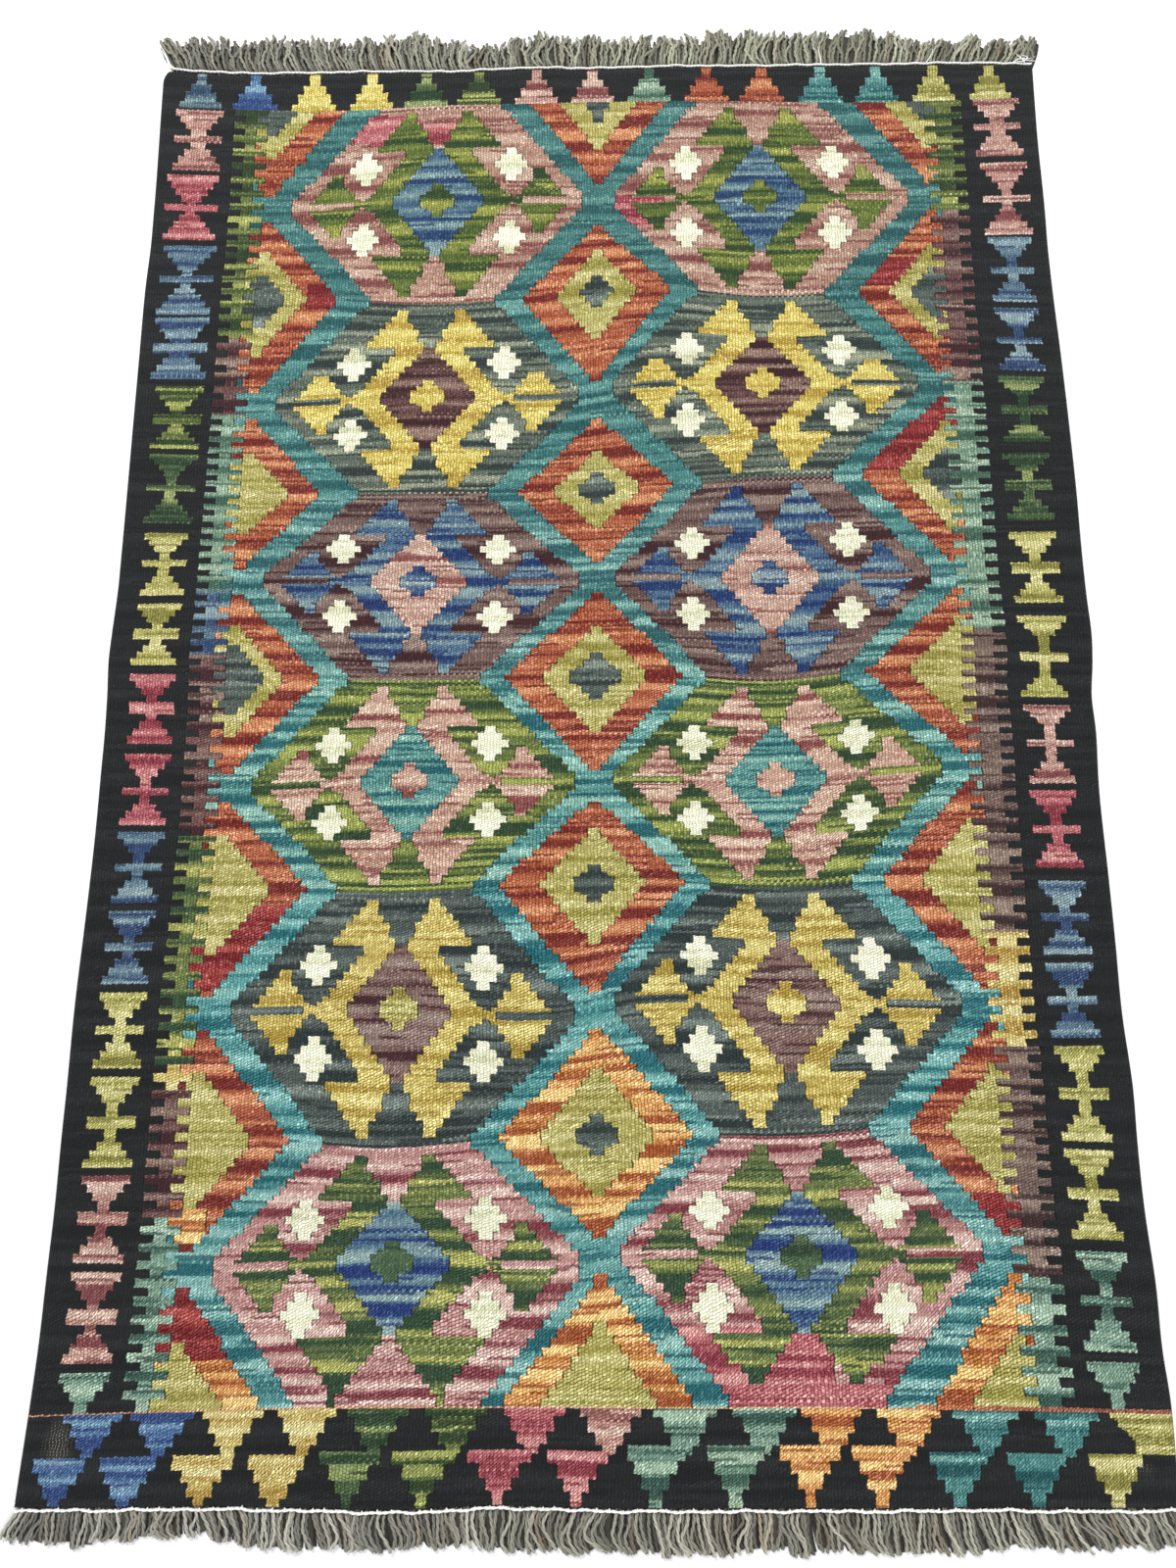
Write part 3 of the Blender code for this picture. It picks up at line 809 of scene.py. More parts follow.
def paint_rhombi(chart):
    """On each line between medallions: a rhombus in the middle, and half ones that the combs cut."""
    for index, (rhombus, sides) in enumerate(zip(RHOMBI, SIDE_RHOMBI)):
        paint_nest(
            chart, index, RHOMBUS_COLUMN,
            (rhombus.half_width, rhombus.up, rhombus.down, rhombus.yarn),
            (rhombus.inner_half_width, rhombus.inner_up, rhombus.inner_down, "lime"),
            (rhombus.core_half_width, rhombus.core_reach, rhombus.core_reach, "slate"),
        )
        left, right = (sides.left, sides.left_core), (sides.right, sides.right_core)
        for middle, (half_width, core) in zip(SIDE_RHOMBUS_COLUMNS, (left, right)):
            inner = half_width * SIDE_INNER_SHARE
            paint_nest(
                chart, index, middle,
                (half_width, SIDE_RHOMBUS_REACH, SIDE_RHOMBUS_REACH, sides.yarn),
                (inner, inner, inner, "lime"),
                (core, core, core, "slate"),
            )


def paint_medallion(chart, middle, index, left):
    """One stepped hexagon: its ground, the figure with arms, heads and wings, the diamond and the crosses."""
    colours = MEDALLIONS[index]
    across = np.abs(chart.column - middle)
    stepped_across = np.abs(chart.pair - middle)
    waist = STEPS_A_MEDALLION * (index + 0.5)
    along = np.abs(chart.step - waist)
    fine_along = np.abs(chart.half_step - waist)
    half = STEPS_A_MEDALLION / 2
    drawn_out = (index == 0) & (chart.half_step < waist)
    end_half_width = np.where(drawn_out, NEAR_GROUND_END_HALF_WIDTHS[left], GROUND_END_HALF_WIDTH)
    slope = np.where(drawn_out, NEAR_GROUND_SLOPES[left], GROUND_SLOPE)
    room = np.minimum(GROUND_HALF_WIDTH, end_half_width + slope * (half - fine_along))
    chart.paint((along < half) & (stepped_across < room), colours.ground)
    arm = (along < ARM_STEPS) & (stepped_across < ARM_OUTER + ARM_SLOPE * (ARM_STEPS - fine_along))
    chart.paint(arm, colours.figure)
    for spans, here in ((HEAD_SPANS, ~drawn_out), (NEAR_HEAD_SPANS[left], drawn_out)):
        for index_up, head in enumerate(spans):
            rise = along == ARM_STEPS + index_up + 0.5
            chart.paint(span(across, head) & rise & here & chart.in_field, colours.figure)
    far_half = chart.half_step > waist
    for index_up, wing in enumerate(WING_SPANS):
        missing = far_half & (index == SHORT_WINGED_MEDALLION) & (index_up == len(WING_SPANS) - 1)
        chart.paint(span(across, wing) & (along == index_up + 0.5) & ~missing, colours.figure)
    chart.paint(span(across, WING_SLIT) & (fine_along < 0.5), colours.ground)
    for index_up, neck in enumerate(NECK_SPANS):
        chart.paint(span(across, neck) & (fine_along < 0.5 * (index_up + 1)), colours.figure)
    core = colours.core_l if left else colours.core_r
    for (half_width, reach), yarn in ((DIAMOND, colours.diamond), (CORE, core)):
        chart.paint(in_rhombus(stepped_across, fine_along, half_width, reach, reach), yarn)
    for index_out, half_width in enumerate(CROSS_HALF_WIDTHS):
        beside = np.abs(across - CROSS_PLACE[0]) < half_width
        level = np.abs(fine_along - CROSS_PLACE[1]) < index_out + 0.5
        chart.paint(beside & level & chart.in_field, "cream")


def paint_combs(chart):
    tooth = (chart.row // 2 % 2 == 0) & chart.in_field
    for comb in COMBS:
        bands = comb.bands + (Band(0, None),)
        for band, below in zip(bands, bands[1:]):
            high = chart.in_field & (chart.v < band.top) & (chart.v >= below.top)
            chart.paint(high & span(chart.column, comb.trunk), band.yarn)
            toothed = span(chart.column, comb.outer) | span(chart.column, comb.inner)
            chart.paint(high & toothed & tooth, band.yarn)


def paint_hourglass(chart, hourglass, middle):
    """Two stepped triangles point to point, with a thin bar across their waist."""
    bottom, top = chart.row_at(middle, hourglass.bottom), chart.row_at(middle, hourglass.top)
    across = np.abs(chart.column - middle)
    for row in range(max(bottom, NEAR_ROWS), min(top, FIELD_TOP)):
        from_end = min(row - bottom, top - 1 - row)
        half_width = max(HOURGLASS_WAIST, hourglass.half_width - from_end // 2 * HOURGLASS_STEP)
        if abs(row + 0.5 - (bottom + top) / 2) <= 1:
            half_width = hourglass.half_width
        chart.paint((chart.row == row) & (across < half_width), hourglass.yarn)


def paint_end_borders(chart):
    for triangles in TRIANGLE_ROWS:
        for middle, base, yarn in zip(triangles.middles, triangles.bases, triangles.yarns):
            for rise, half_width in enumerate(triangles.half_widths):
                row = base + rise * triangles.direction
                chart.paint((chart.row == row) & (np.abs(chart.column - middle) < half_width), yarn)
    for drop, width in enumerate(CORNER_BLOCK):
        chart.paint((chart.row == LINE_ROW - 1 - drop) & (chart.column > COLUMNS - width), "olive")
    chart.cells[LINE_ROW] = chart.cells[LINE_ROW + 1]


def paint_chart():
    chart = Chart()
    chart.paint(np.ones_like(chart.in_field), "charcoal")
    field = chart.in_field & span(chart.column, FIELD_COLUMNS)
    for index, medallion in enumerate(MEDALLIONS):
        low, high = STEPS_A_MEDALLION * index, STEPS_A_MEDALLION * (index + 1)
        chart.paint(field & (chart.half_step > low) & (chart.half_step < high), medallion.sky)
    paint_rhombi(chart)
    for index in range(MEDALLION_COUNT):
        for middle in MEDALLION_COLUMNS:
            paint_medallion(chart, middle, index, left=middle == MEDALLION_COLUMNS[0])
    chart.paint(~field, "charcoal")
    for patch in PATCHES:
        here = span(chart.u, (patch.left, patch.right)) & span(chart.v, (patch.near, patch.far))
        chart.paint(here & (chart.cells == chart.names.index(patch.old)), patch.new)
    paint_combs(chart)
    for hourglass in LEFT_HOURGLASSES:
        paint_hourglass(chart, hourglass, hourglass.from_side)
    for hourglass in RIGHT_HOURGLASSES:
        paint_hourglass(chart, hourglass, COLUMNS - hourglass.from_side)
    paint_end_borders(chart)
    return chart


def wind_bobbins(chart):
    """Weave the chart from the near end. Each run of one yarn takes up the bobbin that wove the run under it.

    Returns, for each cell, the warp where its run starts, the yarn used before its row, the run's width in
    warps and the bobbin's own number.
    """
    chance = random.Random(BOBBIN_SEED)
    start, used, width, bobbin = (np.zeros(chart.cells.shape) for _ in range(4))
    below = []
    for row in range(ROWS):
        cells = chart.cells[row]
        edges = [0] + [int(edge) + 1 for edge in np.flatnonzero(np.diff(cells))] + [WARPS]
        here = []
        for low, high in zip(edges, edges[1:]):
            best, overlap = None, 0
            for run in below:
                shared = min(high, run["high"]) - max(low, run["low"])
                if run["yarn"] == cells[low] and not run["taken"] and shared > overlap:
                    best, overlap = run, shared
            if best is None:
                best = {"used": 0.0, "bobbin": chance.uniform(0, BOBBIN_NUMBERS)}
            best["taken"] = True
            start[row, low:high] = low
            used[row, low:high] = best["used"]
            width[row, low:high] = high - low
            bobbin[row, low:high] = best["bobbin"]
            here.append({
                "low": low, "high": high, "yarn": cells[low], "taken": False,
                "used": best["used"] + (high - low) * PICKS_A_ROW, "bobbin": best["bobbin"],
            })
        below = here
    return start, used, width, bobbin


def linear(colour):
    """A colour seen as sRGB, 0 to 255, in the shader's linear values."""
    share = np.asarray(colour, float) / 255
    return np.where(share <= 0.04045, share / 12.92, ((share + 0.055) / 1.055) ** 2.4)


def opaque(colours):
    return np.hstack([colours, np.ones((len(colours), 1))])


def step(operation):
    """A step of a formula: a method that adds one math node."""
    return lambda value, *others: value.graph.math(operation, value, *others)


class Value:
    """One output of a shader node, which formulas can be written with."""

    __add__ = step("ADD")
    __sub__ = step("SUBTRACT")
    __mul__ = step("MULTIPLY")
    __mod__ = step("MODULO")
    __pow__ = step("POWER")
    floor = step("FLOOR")
    fract = step("FRACT")
    sine = step("SINE")

    def __init__(self, graph, socket):
        self.graph, self.socket = graph, socket

    def __rsub__(self, other):
        return self.graph.math("SUBTRACT", other, self)


class Graph:
    """Builds a material's nodes with short calls, each of which returns an output."""

    def __init__(self, name):
        self.material = bpy.data.materials.new(name)
        self.material.use_nodes = True
        self.nodes = self.material.node_tree.nodes
        self.place = self.node("TexCoord", (), "Object")

    def put(self, socket, value):
        if isinstance(value, Value):
            self.material.node_tree.links.new(value.socket, socket)
        elif value is not None:
            socket.default_value = value

    def fill(self, node, inputs):
        """Fill a node's inputs, given by name or in their order."""
        for key, value in inputs.items() if isinstance(inputs, dict) else enumerate(inputs):
            self.put(node.inputs[key], value)

    def node(self, kind, inputs=(), output=0, **settings):
        """Add a node, set it up, fill its inputs and return one of its outputs."""
        node = self.nodes.new("ShaderNode" + kind)
        for name, value in settings.items():
            setattr(node, name, value)
        self.fill(node, inputs)
        return Value(self, node.outputs[output])

    def math(self, operation, *values):
        return self.node("Math", values, operation=operation)

    def blend(self, share, first, second, kind="RGBA"):
        node = self.nodes.new("ShaderNodeMix")
        node.data_type, node.clamp_factor = kind, True
        inputs = [socket for socket in node.inputs if socket.enabled]
        for socket, value in zip(inputs, (share, first, second)):
            self.put(socket, value)
        return Value(self, next(socket for socket in node.outputs if socket.enabled))

    def rescale(self, value, low, high, at_low, at_high, soft):
        kind = "SMOOTHSTEP" if soft else "LINEAR"
        return self.node("MapRange", (value, low, high, at_low, at_high), interpolation_type=kind)

    def ramp(self, value, name):
        return self.rescale(value, *RAMPS[name])

    def noise(self, name, place=None, along=None):
        """Noise of a named kind, in the object's space, on a map or along one number."""
        inputs = NOISES[name]._asdict()
        if along is None:
            inputs["Vector"] = place or self.place
        else:
            inputs["W"] = along
        return self.node("TexNoise", inputs, "Fac", noise_dimensions="3D" if along is None else "1D")

    def chance(self, number):
        return self.node("TexWhiteNoise", {"W": number}, "Value", noise_dimensions="1D")

    def attribute(self, name, output):
        return self.node("Attribute", (), output, attribute_name=name)

    def parts(self, vector):
        outputs = self.node("SeparateXYZ", (vector,)).socket.node.outputs
        return [Value(self, socket) for socket in outputs]

    def shaded(self, colour, shade, saturation=1.0):
        return self.node("HueSaturation", {"Color": colour, "Value": shade, "Saturation": saturation})

    def finish(self, colour, roughness, height=None, depth=0.0, sheen=0.0):
        """Join up the shader. The height is bump, as deep as the depth in metres."""
        normal = None
        if height is not None:
            normal = self.node("Bump", {"Height": height, "Distance": depth, "Strength": 1.0})
        self.fill(self.nodes["Principled BSDF"], {
            "Base Color": colour, "Roughness": roughness, "Normal": normal, "Specular IOR Level": SPECULAR,
            "Sheen Weight": sheen, "Sheen Roughness": SHEEN_ROUGHNESS, "Sheen Tint": (1.0, 1.0, 1.0, 1.0),
        })
        return self.material


# The place of a point of the weave: on the loom, in its grain (the bit of a pick on one warp) and in its row.
Loom = namedtuple("Loom", "warp pick across right grain pick_in_row shown_pick above_row")


def loom_places(graph):
    """Where a point lies. Each warp shows every second pick, and the odd warps show the picks between."""
    warp, pick = graph.parts(graph.node("UVMap", uv_map="Loom"))[:2]
    across = warp.fract()
    right = warp.floor() % 2
    half_right = right * 0.5
    grain = ((pick - across * WEFT_SLANT + half_right) * 0.5).floor()
    grain_foot = grain * 2 - half_right
    shown_pick = grain_foot - half_right
    row_foot = (pick * (1 / PICKS_A_ROW)).floor() * PICKS_A_ROW
    return Loom(warp, pick, across, right, grain, shown_pick - row_foot, shown_pick, grain_foot - row_foot)


def of_warp(graph, loom, name, kind="RGBA"):
    """What the mesh gives for the left or the right warp of a face, whichever the point lies on."""
    output = {"RGBA": "Color", "VECTOR": "Vector", "FLOAT": "Alpha"}[kind]
    return graph.blend(loom.right, *(graph.attribute(f"{name}_{side}", output) for side in SIDES), kind=kind)


def dyed_colour(graph, loom):
    """The colour of the yarn, whose dye changes along its length, and the length used up to a point."""
    start, used, width = graph.parts(of_warp(graph, loom, "run", "VECTOR"))
    bobbin, dark_limit, light_limit = graph.parts(of_warp(graph, loom, "dye", "VECTOR"))
    inside = loom.warp - start
    back = (loom.shown_pick + EVEN_PICKS) % 2
    along = graph.blend(back, inside, width - inside, kind="FLOAT")
    yarn_length = used + loom.pick_in_row * width + along
    dye = graph.noise("dye", along=yarn_length * (1 / DYE_LENGTH_WARPS) + bobbin)
    each_pick = graph.chance(loom.shown_pick + bobbin * PICK_KEY)
    dye = dye + graph.ramp(each_pick, "pick_dye")

    yarn_dark = of_warp(graph, loom, "yarn_dark")
    is_mid = graph.ramp(dye - dark_limit, "mid_dye")
    is_light = graph.ramp(dye - light_limit, "light_dye")
    colour = graph.blend(is_mid, yarn_dark, of_warp(graph, loom, "yarn_mid"))
    colour = graph.blend(is_light, colour, of_warp(graph, loom, "yarn_light"))
    both_picks = graph.chance(loom.grain + bobbin * GRAIN_KEY)
    streak_place = loom.warp * (1 / STREAK_LENGTH_WARPS) + both_picks * STREAK_APART
    streak = graph.ramp(graph.noise("streak", along=streak_place), "streak")
    colour = graph.blend(streak * STREAK_DEPTH, colour, yarn_dark)
    last_covered = of_warp(graph, loom, "under", "FLOAT") * PICKS_A_ROW - (PICKS_A_ROW + 0.5)
    covered = graph.math("LESS_THAN", loom.above_row, last_covered)
    return graph.blend(covered, colour, of_warp(graph, loom, "under")), yarn_length


def grain_relief(graph, loom):
    """The grains' own slant, the number that tells them apart, and their height along and across."""
    region = graph.noise("region") + graph.ramp(graph.parts(graph.place)[1], "nearness")
    steep = graph.ramp(region, "steep")
    slant = graph.ramp(region, "slanting") + steep
    own_phase = graph.chance(loom.warp.floor() * WARP_KEY)
    uneven = graph.ramp(graph.noise("uneven"), "uneven") + graph.ramp(own_phase, "warp_phase")
    loose = graph.math("MINIMUM", loom.pick, LOOSE_PICKS) * LOOSENESS
    slanted = loom.pick - loose - loom.across * slant + uneven
    slanted = (slanted + loom.right * (1.0 - steep)) * 0.5
    grain, rib = ((across * math.pi).sine() for across in (slanted.fract(), loom.across))
    return slant, slanted.floor(), grain, rib


def slit_gaps(graph, loom):
    """How deep a point lies in the slit between two colours, and how near to it, where the wefts turn."""
    in_column = (loom.warp * (1 / WARPS_A_COLUMN)).fract()
    gap, turn_highlight = 0.0, 0.0
    for edge, place in zip(graph.parts(graph.attribute("slit", "Vector")), (0.0, 0.5, 1.0)):
        away = graph.math("ABSOLUTE", in_column - place)
        # The slit's depth, which the material paints as shade.
        gap = graph.math("MAXIMUM", gap, edge * graph.ramp(away, "slit"))
        # Near the slit, where the wefts turn, the material paints a highlight.
        turn_highlight = graph.math("MAXIMUM", turn_highlight, edge * graph.ramp(away, "beside_slit"))
    return gap, turn_highlight


def woven_material():
    """Weft-faced plain weave.

    A face of the cloth is two warps wide, so each of its colours comes for the left and for the right warp.
    The picks lie aslant over the warps, most of all near the near end, where they join up in diagonals.
    """
    graph = Graph("woven_wool")
    loom = loom_places(graph)
    colour, yarn_length = dyed_colour(graph, loom)
    slant, grain_number, grain, rib = grain_relief(graph, loom)
    gap, turn_highlight = slit_gaps(graph, loom)

    fibre = graph.noise("fibre", along=yarn_length)
    blotch = graph.noise("blotch")
    each_grain = graph.chance(loom.warp.floor() * GRAIN_WARP_KEY + grain_number * GRAIN_PICK_KEY)
    # Painted shade in the crevices between grains and between ribs, and a painted highlight on their tops.
    grain_ends = (graph.ramp(slant, "grain_low"), graph.ramp(slant, "grain_high"))
    shade = graph.rescale(grain, *GRAIN_RANGE, *grain_ends, soft=True)
    shade = shade * graph.rescale(rib, *RIB_RANGE, graph.ramp(slant, "rib_low"), RIB_SHADE, soft=True)
    for value, name in (
        # Some grains get a painted glint.
        (blotch, "blotch"), (each_grain, "each_grain"), (each_grain, "painted_glint"), (fibre, "fibre"),
        # Beside a slit the turning wefts get a painted highlight.
        (graph.noise("wear"), "wear"), (turn_highlight, "turn_highlight"),
    ):
        shade = shade * graph.ramp(value, name)
    tone = graph.node("RGBToBW", (colour,))
    # Dark yarn takes part of its painted shade from its ribs alone.
    shade = graph.blend(graph.ramp(tone, "dark_yarn"), shade, graph.ramp(rib, "dark_rib"), kind="FLOAT")
    # Pale yarn and calm patches get less of the painted shade and highlight.
    calm = graph.math("MAXIMUM", graph.ramp(tone, "pale_yarn"), graph.ramp(graph.noise("calm"), "calm"))
    shade = graph.blend(calm, shade, 1.0, kind="FLOAT")
    # Painted shade in the slits.
    gap_depth = gap * graph.ramp(blotch, "closed_slit")
    shade = shade * graph.ramp(gap_depth, "slit_shade")
    # Painted shade makes the yarn richer in colour, painted highlight paler.
    colour = graph.shaded(colour, shade, graph.ramp(shade, "saturation"))
    height = rib**RELIEF_ROUNDNESS * grain**RELIEF_ROUNDNESS
    bare = graph.attribute("bare", "Fac") * graph.ramp(height, "bare")
    colour = graph.blend(bare, colour, BARE_WARP)
    relief = height - gap_depth * SLIT_DEPTH + graph.noise("fuzz") * FUZZ
    return graph.finish(colour, graph.ramp(fibre, "roughness"), relief, WEAVE_DEPTH, sheen=WOOL_SHEEN)


def yarn_material(name):
    """Hairy spun yarn: streaks along the strand, in the tone that the mesh gives."""
    graph = Graph(name)
    streak = graph.noise("yarn_streak", place=graph.node("UVMap", uv_map="Yarn"))
    fleck = graph.noise("fleck")
    shade = graph.ramp(streak, "yarn_streak") * graph.ramp(fleck, "fleck")
    # The mesh's tone already holds painted shade and light.
    colour = graph.shaded(graph.attribute("tone", "Color"), shade)
    return graph.finish(colour, YARN_ROUGHNESS, streak + fleck * FLECK_HEIGHT, YARN_DEPTH, sheen=WOOL_SHEEN)


def floor_material():
    graph = Graph("pale_floor")
    grey = graph.ramp(graph.noise("floor"), "floor")
    return graph.finish(graph.node("CombineColor", (grey, grey, grey)), FLOOR_ROUGHNESS)


def add_object(name, data):
    thing = bpy.data.objects.new(name, data)
    bpy.context.scene.collection.objects.link(thing)
    return thing


def add_piece(name, points, faces, material):
    mesh = bpy.data.meshes.new(name)
    mesh.from_pydata(points.tolist(), [], faces)
    mesh.materials.append(material)
    mesh.polygons.foreach_set("use_smooth", np.ones(len(faces), bool))
    return add_object(name, mesh)


def add_data(mesh, name, kind, values, domain="FACE"):
    attribute = mesh.attributes.new(name, kind, domain)
    key = {"FLOAT": "value", "FLOAT_VECTOR": "vector", "FLOAT_COLOR": "color"}[kind]
    attribute.data.foreach_set(key, np.ascontiguousarray(values, dtype=np.float32).ravel())


def add_map(mesh, name, places):
    mesh.uv_layers.new(name=name).data.foreach_set("uv", places.astype(np.float32).ravel())


def ripple(u, v):
    """How far in metres the cloth lifts from the floor: long soft waves, mostly along the weft."""
    waves = 0.0
    for row in RIPPLES:
        along = u * row.u_share + v * row.v_share
        aside = v * row.u_share + u * row.v_share
        sway = row.sway * np.sin(aside / row.sway_reach)
        waves = waves + row.height * np.sin(along / row.reach + sway + row.phase)
    return np.maximum(0.0, waves + RIPPLE_LIFT) * MM * RIPPLE_SHARE


def cloth_grid():
    """The plan of the cloth's grid points in metres: u and v, a row for each chart row."""
    columns = np.arange(COLUMNS + 1)
    v = weft_heights(columns, np.arange(ROWS + 1))
    u = warp_places(columns, v)
    near_corner = np.clip(1 - (LENGTH_MM + END_ROWS[0].far - v) / CORNER_REACH, 0, 1) ** 2
    u += corner_cut(u) * near_corner
    shift = np.random.default_rng(HAND_SEED).uniform(-1, 1, (2, *u.shape))
    shift[:, [0, -1]] = 0
    shift[:, :, [0, -1]] = 0
    return (u + shift[0] * HAND_SHIFT_U) * MM, (v + shift[1] * HAND_SHIFT_V) * MM


def grid_points(u, v, z, inset):
    """A grid's points. The outermost are drawn in, so that the cloth's edge is rounded and not cut."""
    u, v = u.copy(), v.copy()
    u[:, 0] += inset
    u[:, -1] -= inset
    v[0] += inset
    v[-1] -= inset
    return np.stack([axis.ravel() for axis in (u, v, z)], 1)


def grid_faces(ids, order):
    """A quad for each cell of a grid. Its corners are numbered from the near left one, near right next."""
    corners = (ids[:-1, :-1], ids[:-1, 1:], ids[1:, 1:], ids[1:, :-1])
    return np.stack([corners[index] for index in order], -1).reshape(-1, 4).tolist()


def ring_of(grid):
    """A grid's outer points once round, starting at its first one, along its first row."""
    return np.concatenate([grid[0, :-1], grid[:-1, -1], grid[-1, :0:-1], grid[:0:-1, 0]])


def cloth_points():
    """Points of the top, of the underside (with a row for each whole step) and round the edge's middle."""
    plan = cloth_grid()
    lift = ripple(*plan)
    top_z = lift + CLOTH_THICKNESS
    top_z[[0, -1]] -= EDGE_DROP
    top_z[:, [0, -1]] -= EDGE_DROP
    top = grid_points(*plan, top_z, TOP_INSET)
    low = grid_points(*(axis[::2] for axis in plan), lift[::2], LOW_INSET)
    edge = np.stack([ring_of(plan[0]), ring_of(plan[1]), ring_of(lift) + CLOTH_THICKNESS / 2], 1)
    return np.concatenate([top, low, edge]) - (BOX_MIDDLE_U, BOX_MIDDLE_V, 0)


def cloth_faces():
    """Faces of the top, the underside and the edge, and the number of the chart's cell that each shows."""
    top = np.arange((ROWS + 1) * (COLUMNS + 1)).reshape(-1, COLUMNS + 1)
    low = np.arange((ROWS // 2 + 1) * (COLUMNS + 1)).reshape(-1, COLUMNS + 1) + top.size
    chart_cells = np.arange(ROWS * COLUMNS).reshape(ROWS, COLUMNS)
    faces = grid_faces(top, (0, 1, 2, 3)) + grid_faces(low, (0, 3, 2, 1))
    cells = [*chart_cells.ravel(), *chart_cells[::2].ravel()]

    top_ring, low_ring = ring_of(top).tolist(), ring_of(low).tolist()
    sides = [chart_cells[0], chart_cells[:, -1], chart_cells[-1, ::-1], chart_cells[::-1, 0]]
    ring_cells = np.concatenate(sides)
    count = len(top_ring)
    edge = [top.size + low.size + index for index in range(count)]
    for index in range(count):
        after = (index + 1) % count
        faces.append((edge[index], edge[after], top_ring[after], top_ring[index]))
        cells.append(ring_cells[index])
    index = 0
    for first, second in zip(low_ring, low_ring[1:] + low_ring[:1]):
        steps = 1 if index % (COLUMNS + ROWS) < COLUMNS else 2
        faces.append((first, second, *(edge[(index + step) % count] for step in range(steps, -1, -1))))
        cells.append(ring_cells[index])
        index += steps
    return faces, np.array(cells)


def build_cloth(chart):
    """One closed mesh with rounded edges. Its faces carry what the shader reads of the chart."""
    points = cloth_points()
    faces, cells = cloth_faces()
    rows, columns = np.divmod(cells, COLUMNS)
    cloth = add_piece("kilim_cloth", points, faces, woven_material())
    dress_cloth(cloth.data, chart, rows, columns)
    map_cloth(cloth.data, points, rows, columns)
    return cloth


def dress_cloth(mesh, chart, rows, columns):
    """Give each face the yarns, runs, dyes and edges of its two warps."""
    tones = {tone: linear([getattr(yarn, tone) for yarn in YARNS.values()]) for tone in Yarn._fields[:3]}
    spread = NormalDist(0.5, DYE_SPREAD)
    limits = np.array([
        (spread.inv_cdf(yarn.dark_share), spread.inv_cdf(1 - yarn.light_share)) for yarn in YARNS.values()
    ])
    start, used, width, bobbin = wind_bobbins(chart)
    runs = np.stack([start, used, width], -1)
    line_places = [place.column for place in LINE_PLACES]
    place_at = np.searchsorted(line_places, columns, "right") - 1
    line_shares = np.array([place.share for place in LINE_PLACES])[place_at]
    line_tones = smooth(line_places, linear([place.tone for place in LINE_PLACES]), columns)
    left_warps = columns * WARPS_A_COLUMN
    for side, warps in zip(SIDES, (left_warps, left_warps + 1)):
        yarn = chart.cells[rows, warps]
        for tone, palette in tones.items():
            add_data(mesh, f"yarn_{tone}_{side}", "FLOAT_COLOR", opaque(palette[yarn]))
        below = chart.cells[np.maximum(rows - 1, 0), warps]
        under = opaque(tones["mid"][below])
        under[:, 3] = below != yarn
        on_line = rows == LINE_ROW
        under[on_line, :3] = line_tones[on_line]
        under[on_line, 3] = 1 + line_shares[on_line]
        add_data(mesh, f"under_{side}", "FLOAT_COLOR", under)
        add_data(mesh, f"run_{side}", "FLOAT_VECTOR", runs[rows, warps])
        dye = np.hstack([bobbin[rows, warps][:, None], limits[yarn]])
        add_data(mesh, f"dye_{side}", "FLOAT_VECTOR", dye)

    parted = np.zeros((ROWS, WARPS + 1))
    parted[:, 1:-1] = chart.cells[:, 1:] != chart.cells[:, :-1]
    slits = np.stack([parted[rows, left_warps + edge] for edge in (0, 1, 2)], -1)
    add_data(mesh, "slit", "FLOAT_VECTOR", slits)
    bare = np.zeros(len(rows))
    u, v = chart.u[rows, left_warps], chart.v[rows, left_warps]
    for spot in BARE_SPOTS:
        away = np.hypot((u - spot.u) / spot.reach_u, (v - spot.v) / spot.reach_v)
        bare = np.maximum(bare, np.clip(BARE_REACH - away, 0, 1) * spot.strength)
    add_data(mesh, "bare", "FLOAT", bare)


def map_cloth(mesh, points, rows, columns):
    """The loom map counts warps and picks. The baking map lays top and underside side by side."""
    corner_vertex = np.zeros(len(mesh.loops), int)
    mesh.loops.foreach_get("vertex_index", corner_vertex)
    starts, totals = np.zeros(len(mesh.polygons), int), np.zeros(len(mesh.polygons), int)
    mesh.polygons.foreach_get("loop_start", starts)
    mesh.polygons.foreach_get("loop_total", totals)
    face = np.repeat(np.arange(len(totals)), totals)
    corner = (np.arange(len(face)) - np.repeat(starts, totals)) % 4
    top_count = ROWS * COLUMNS
    flat_count = top_count + top_count // 2
    low = (face >= top_count) & (face < flat_count)
    first, second = np.array([0, 1, 1, 0])[corner], np.array([0, 0, 1, 1])[corner]
    across, up = np.where(low, second, first), np.where(low, first, second)
    full = 1 - 2 * CELL_INSET
    loom = np.stack([
        (columns[face] + across * full + CELL_INSET) * WARPS_A_COLUMN,
        (rows[face] + (up * full + CELL_INSET) * np.where(low, 2, 1)) * PICKS_A_ROW,
    ], 1)
    add_map(mesh, "Loom", loom)

    place = points[corner_vertex]
    flat = (place[:, :2] - points.min(0)[:2]) / np.ptp(points, 0)[:2]
    under = low | ((face >= flat_count) & (place[:, 2] < CLOTH_THICKNESS * UNDER_EDGE_SHARE))
    left, width = (np.where(under, low_value, top_value) for low_value, top_value in zip(BAKE_LOW, BAKE_TOP))
    add_map(mesh, "OFBake", np.stack([left + width * flat[:, 0], BAKE_UP[0] + BAKE_UP[1] * flat[:, 1]], 1))
    mesh.uv_layers.active = mesh.uv_layers["Loom"]


def directions(path):
    """Ahead and to the side, at each point of a path."""
    ahead = np.gradient(path, axis=0)
    ahead /= np.linalg.norm(ahead, axis=1, keepdims=True)
    side = np.cross(ahead, (0.0, 0.0, 1.0))
    return ahead, side


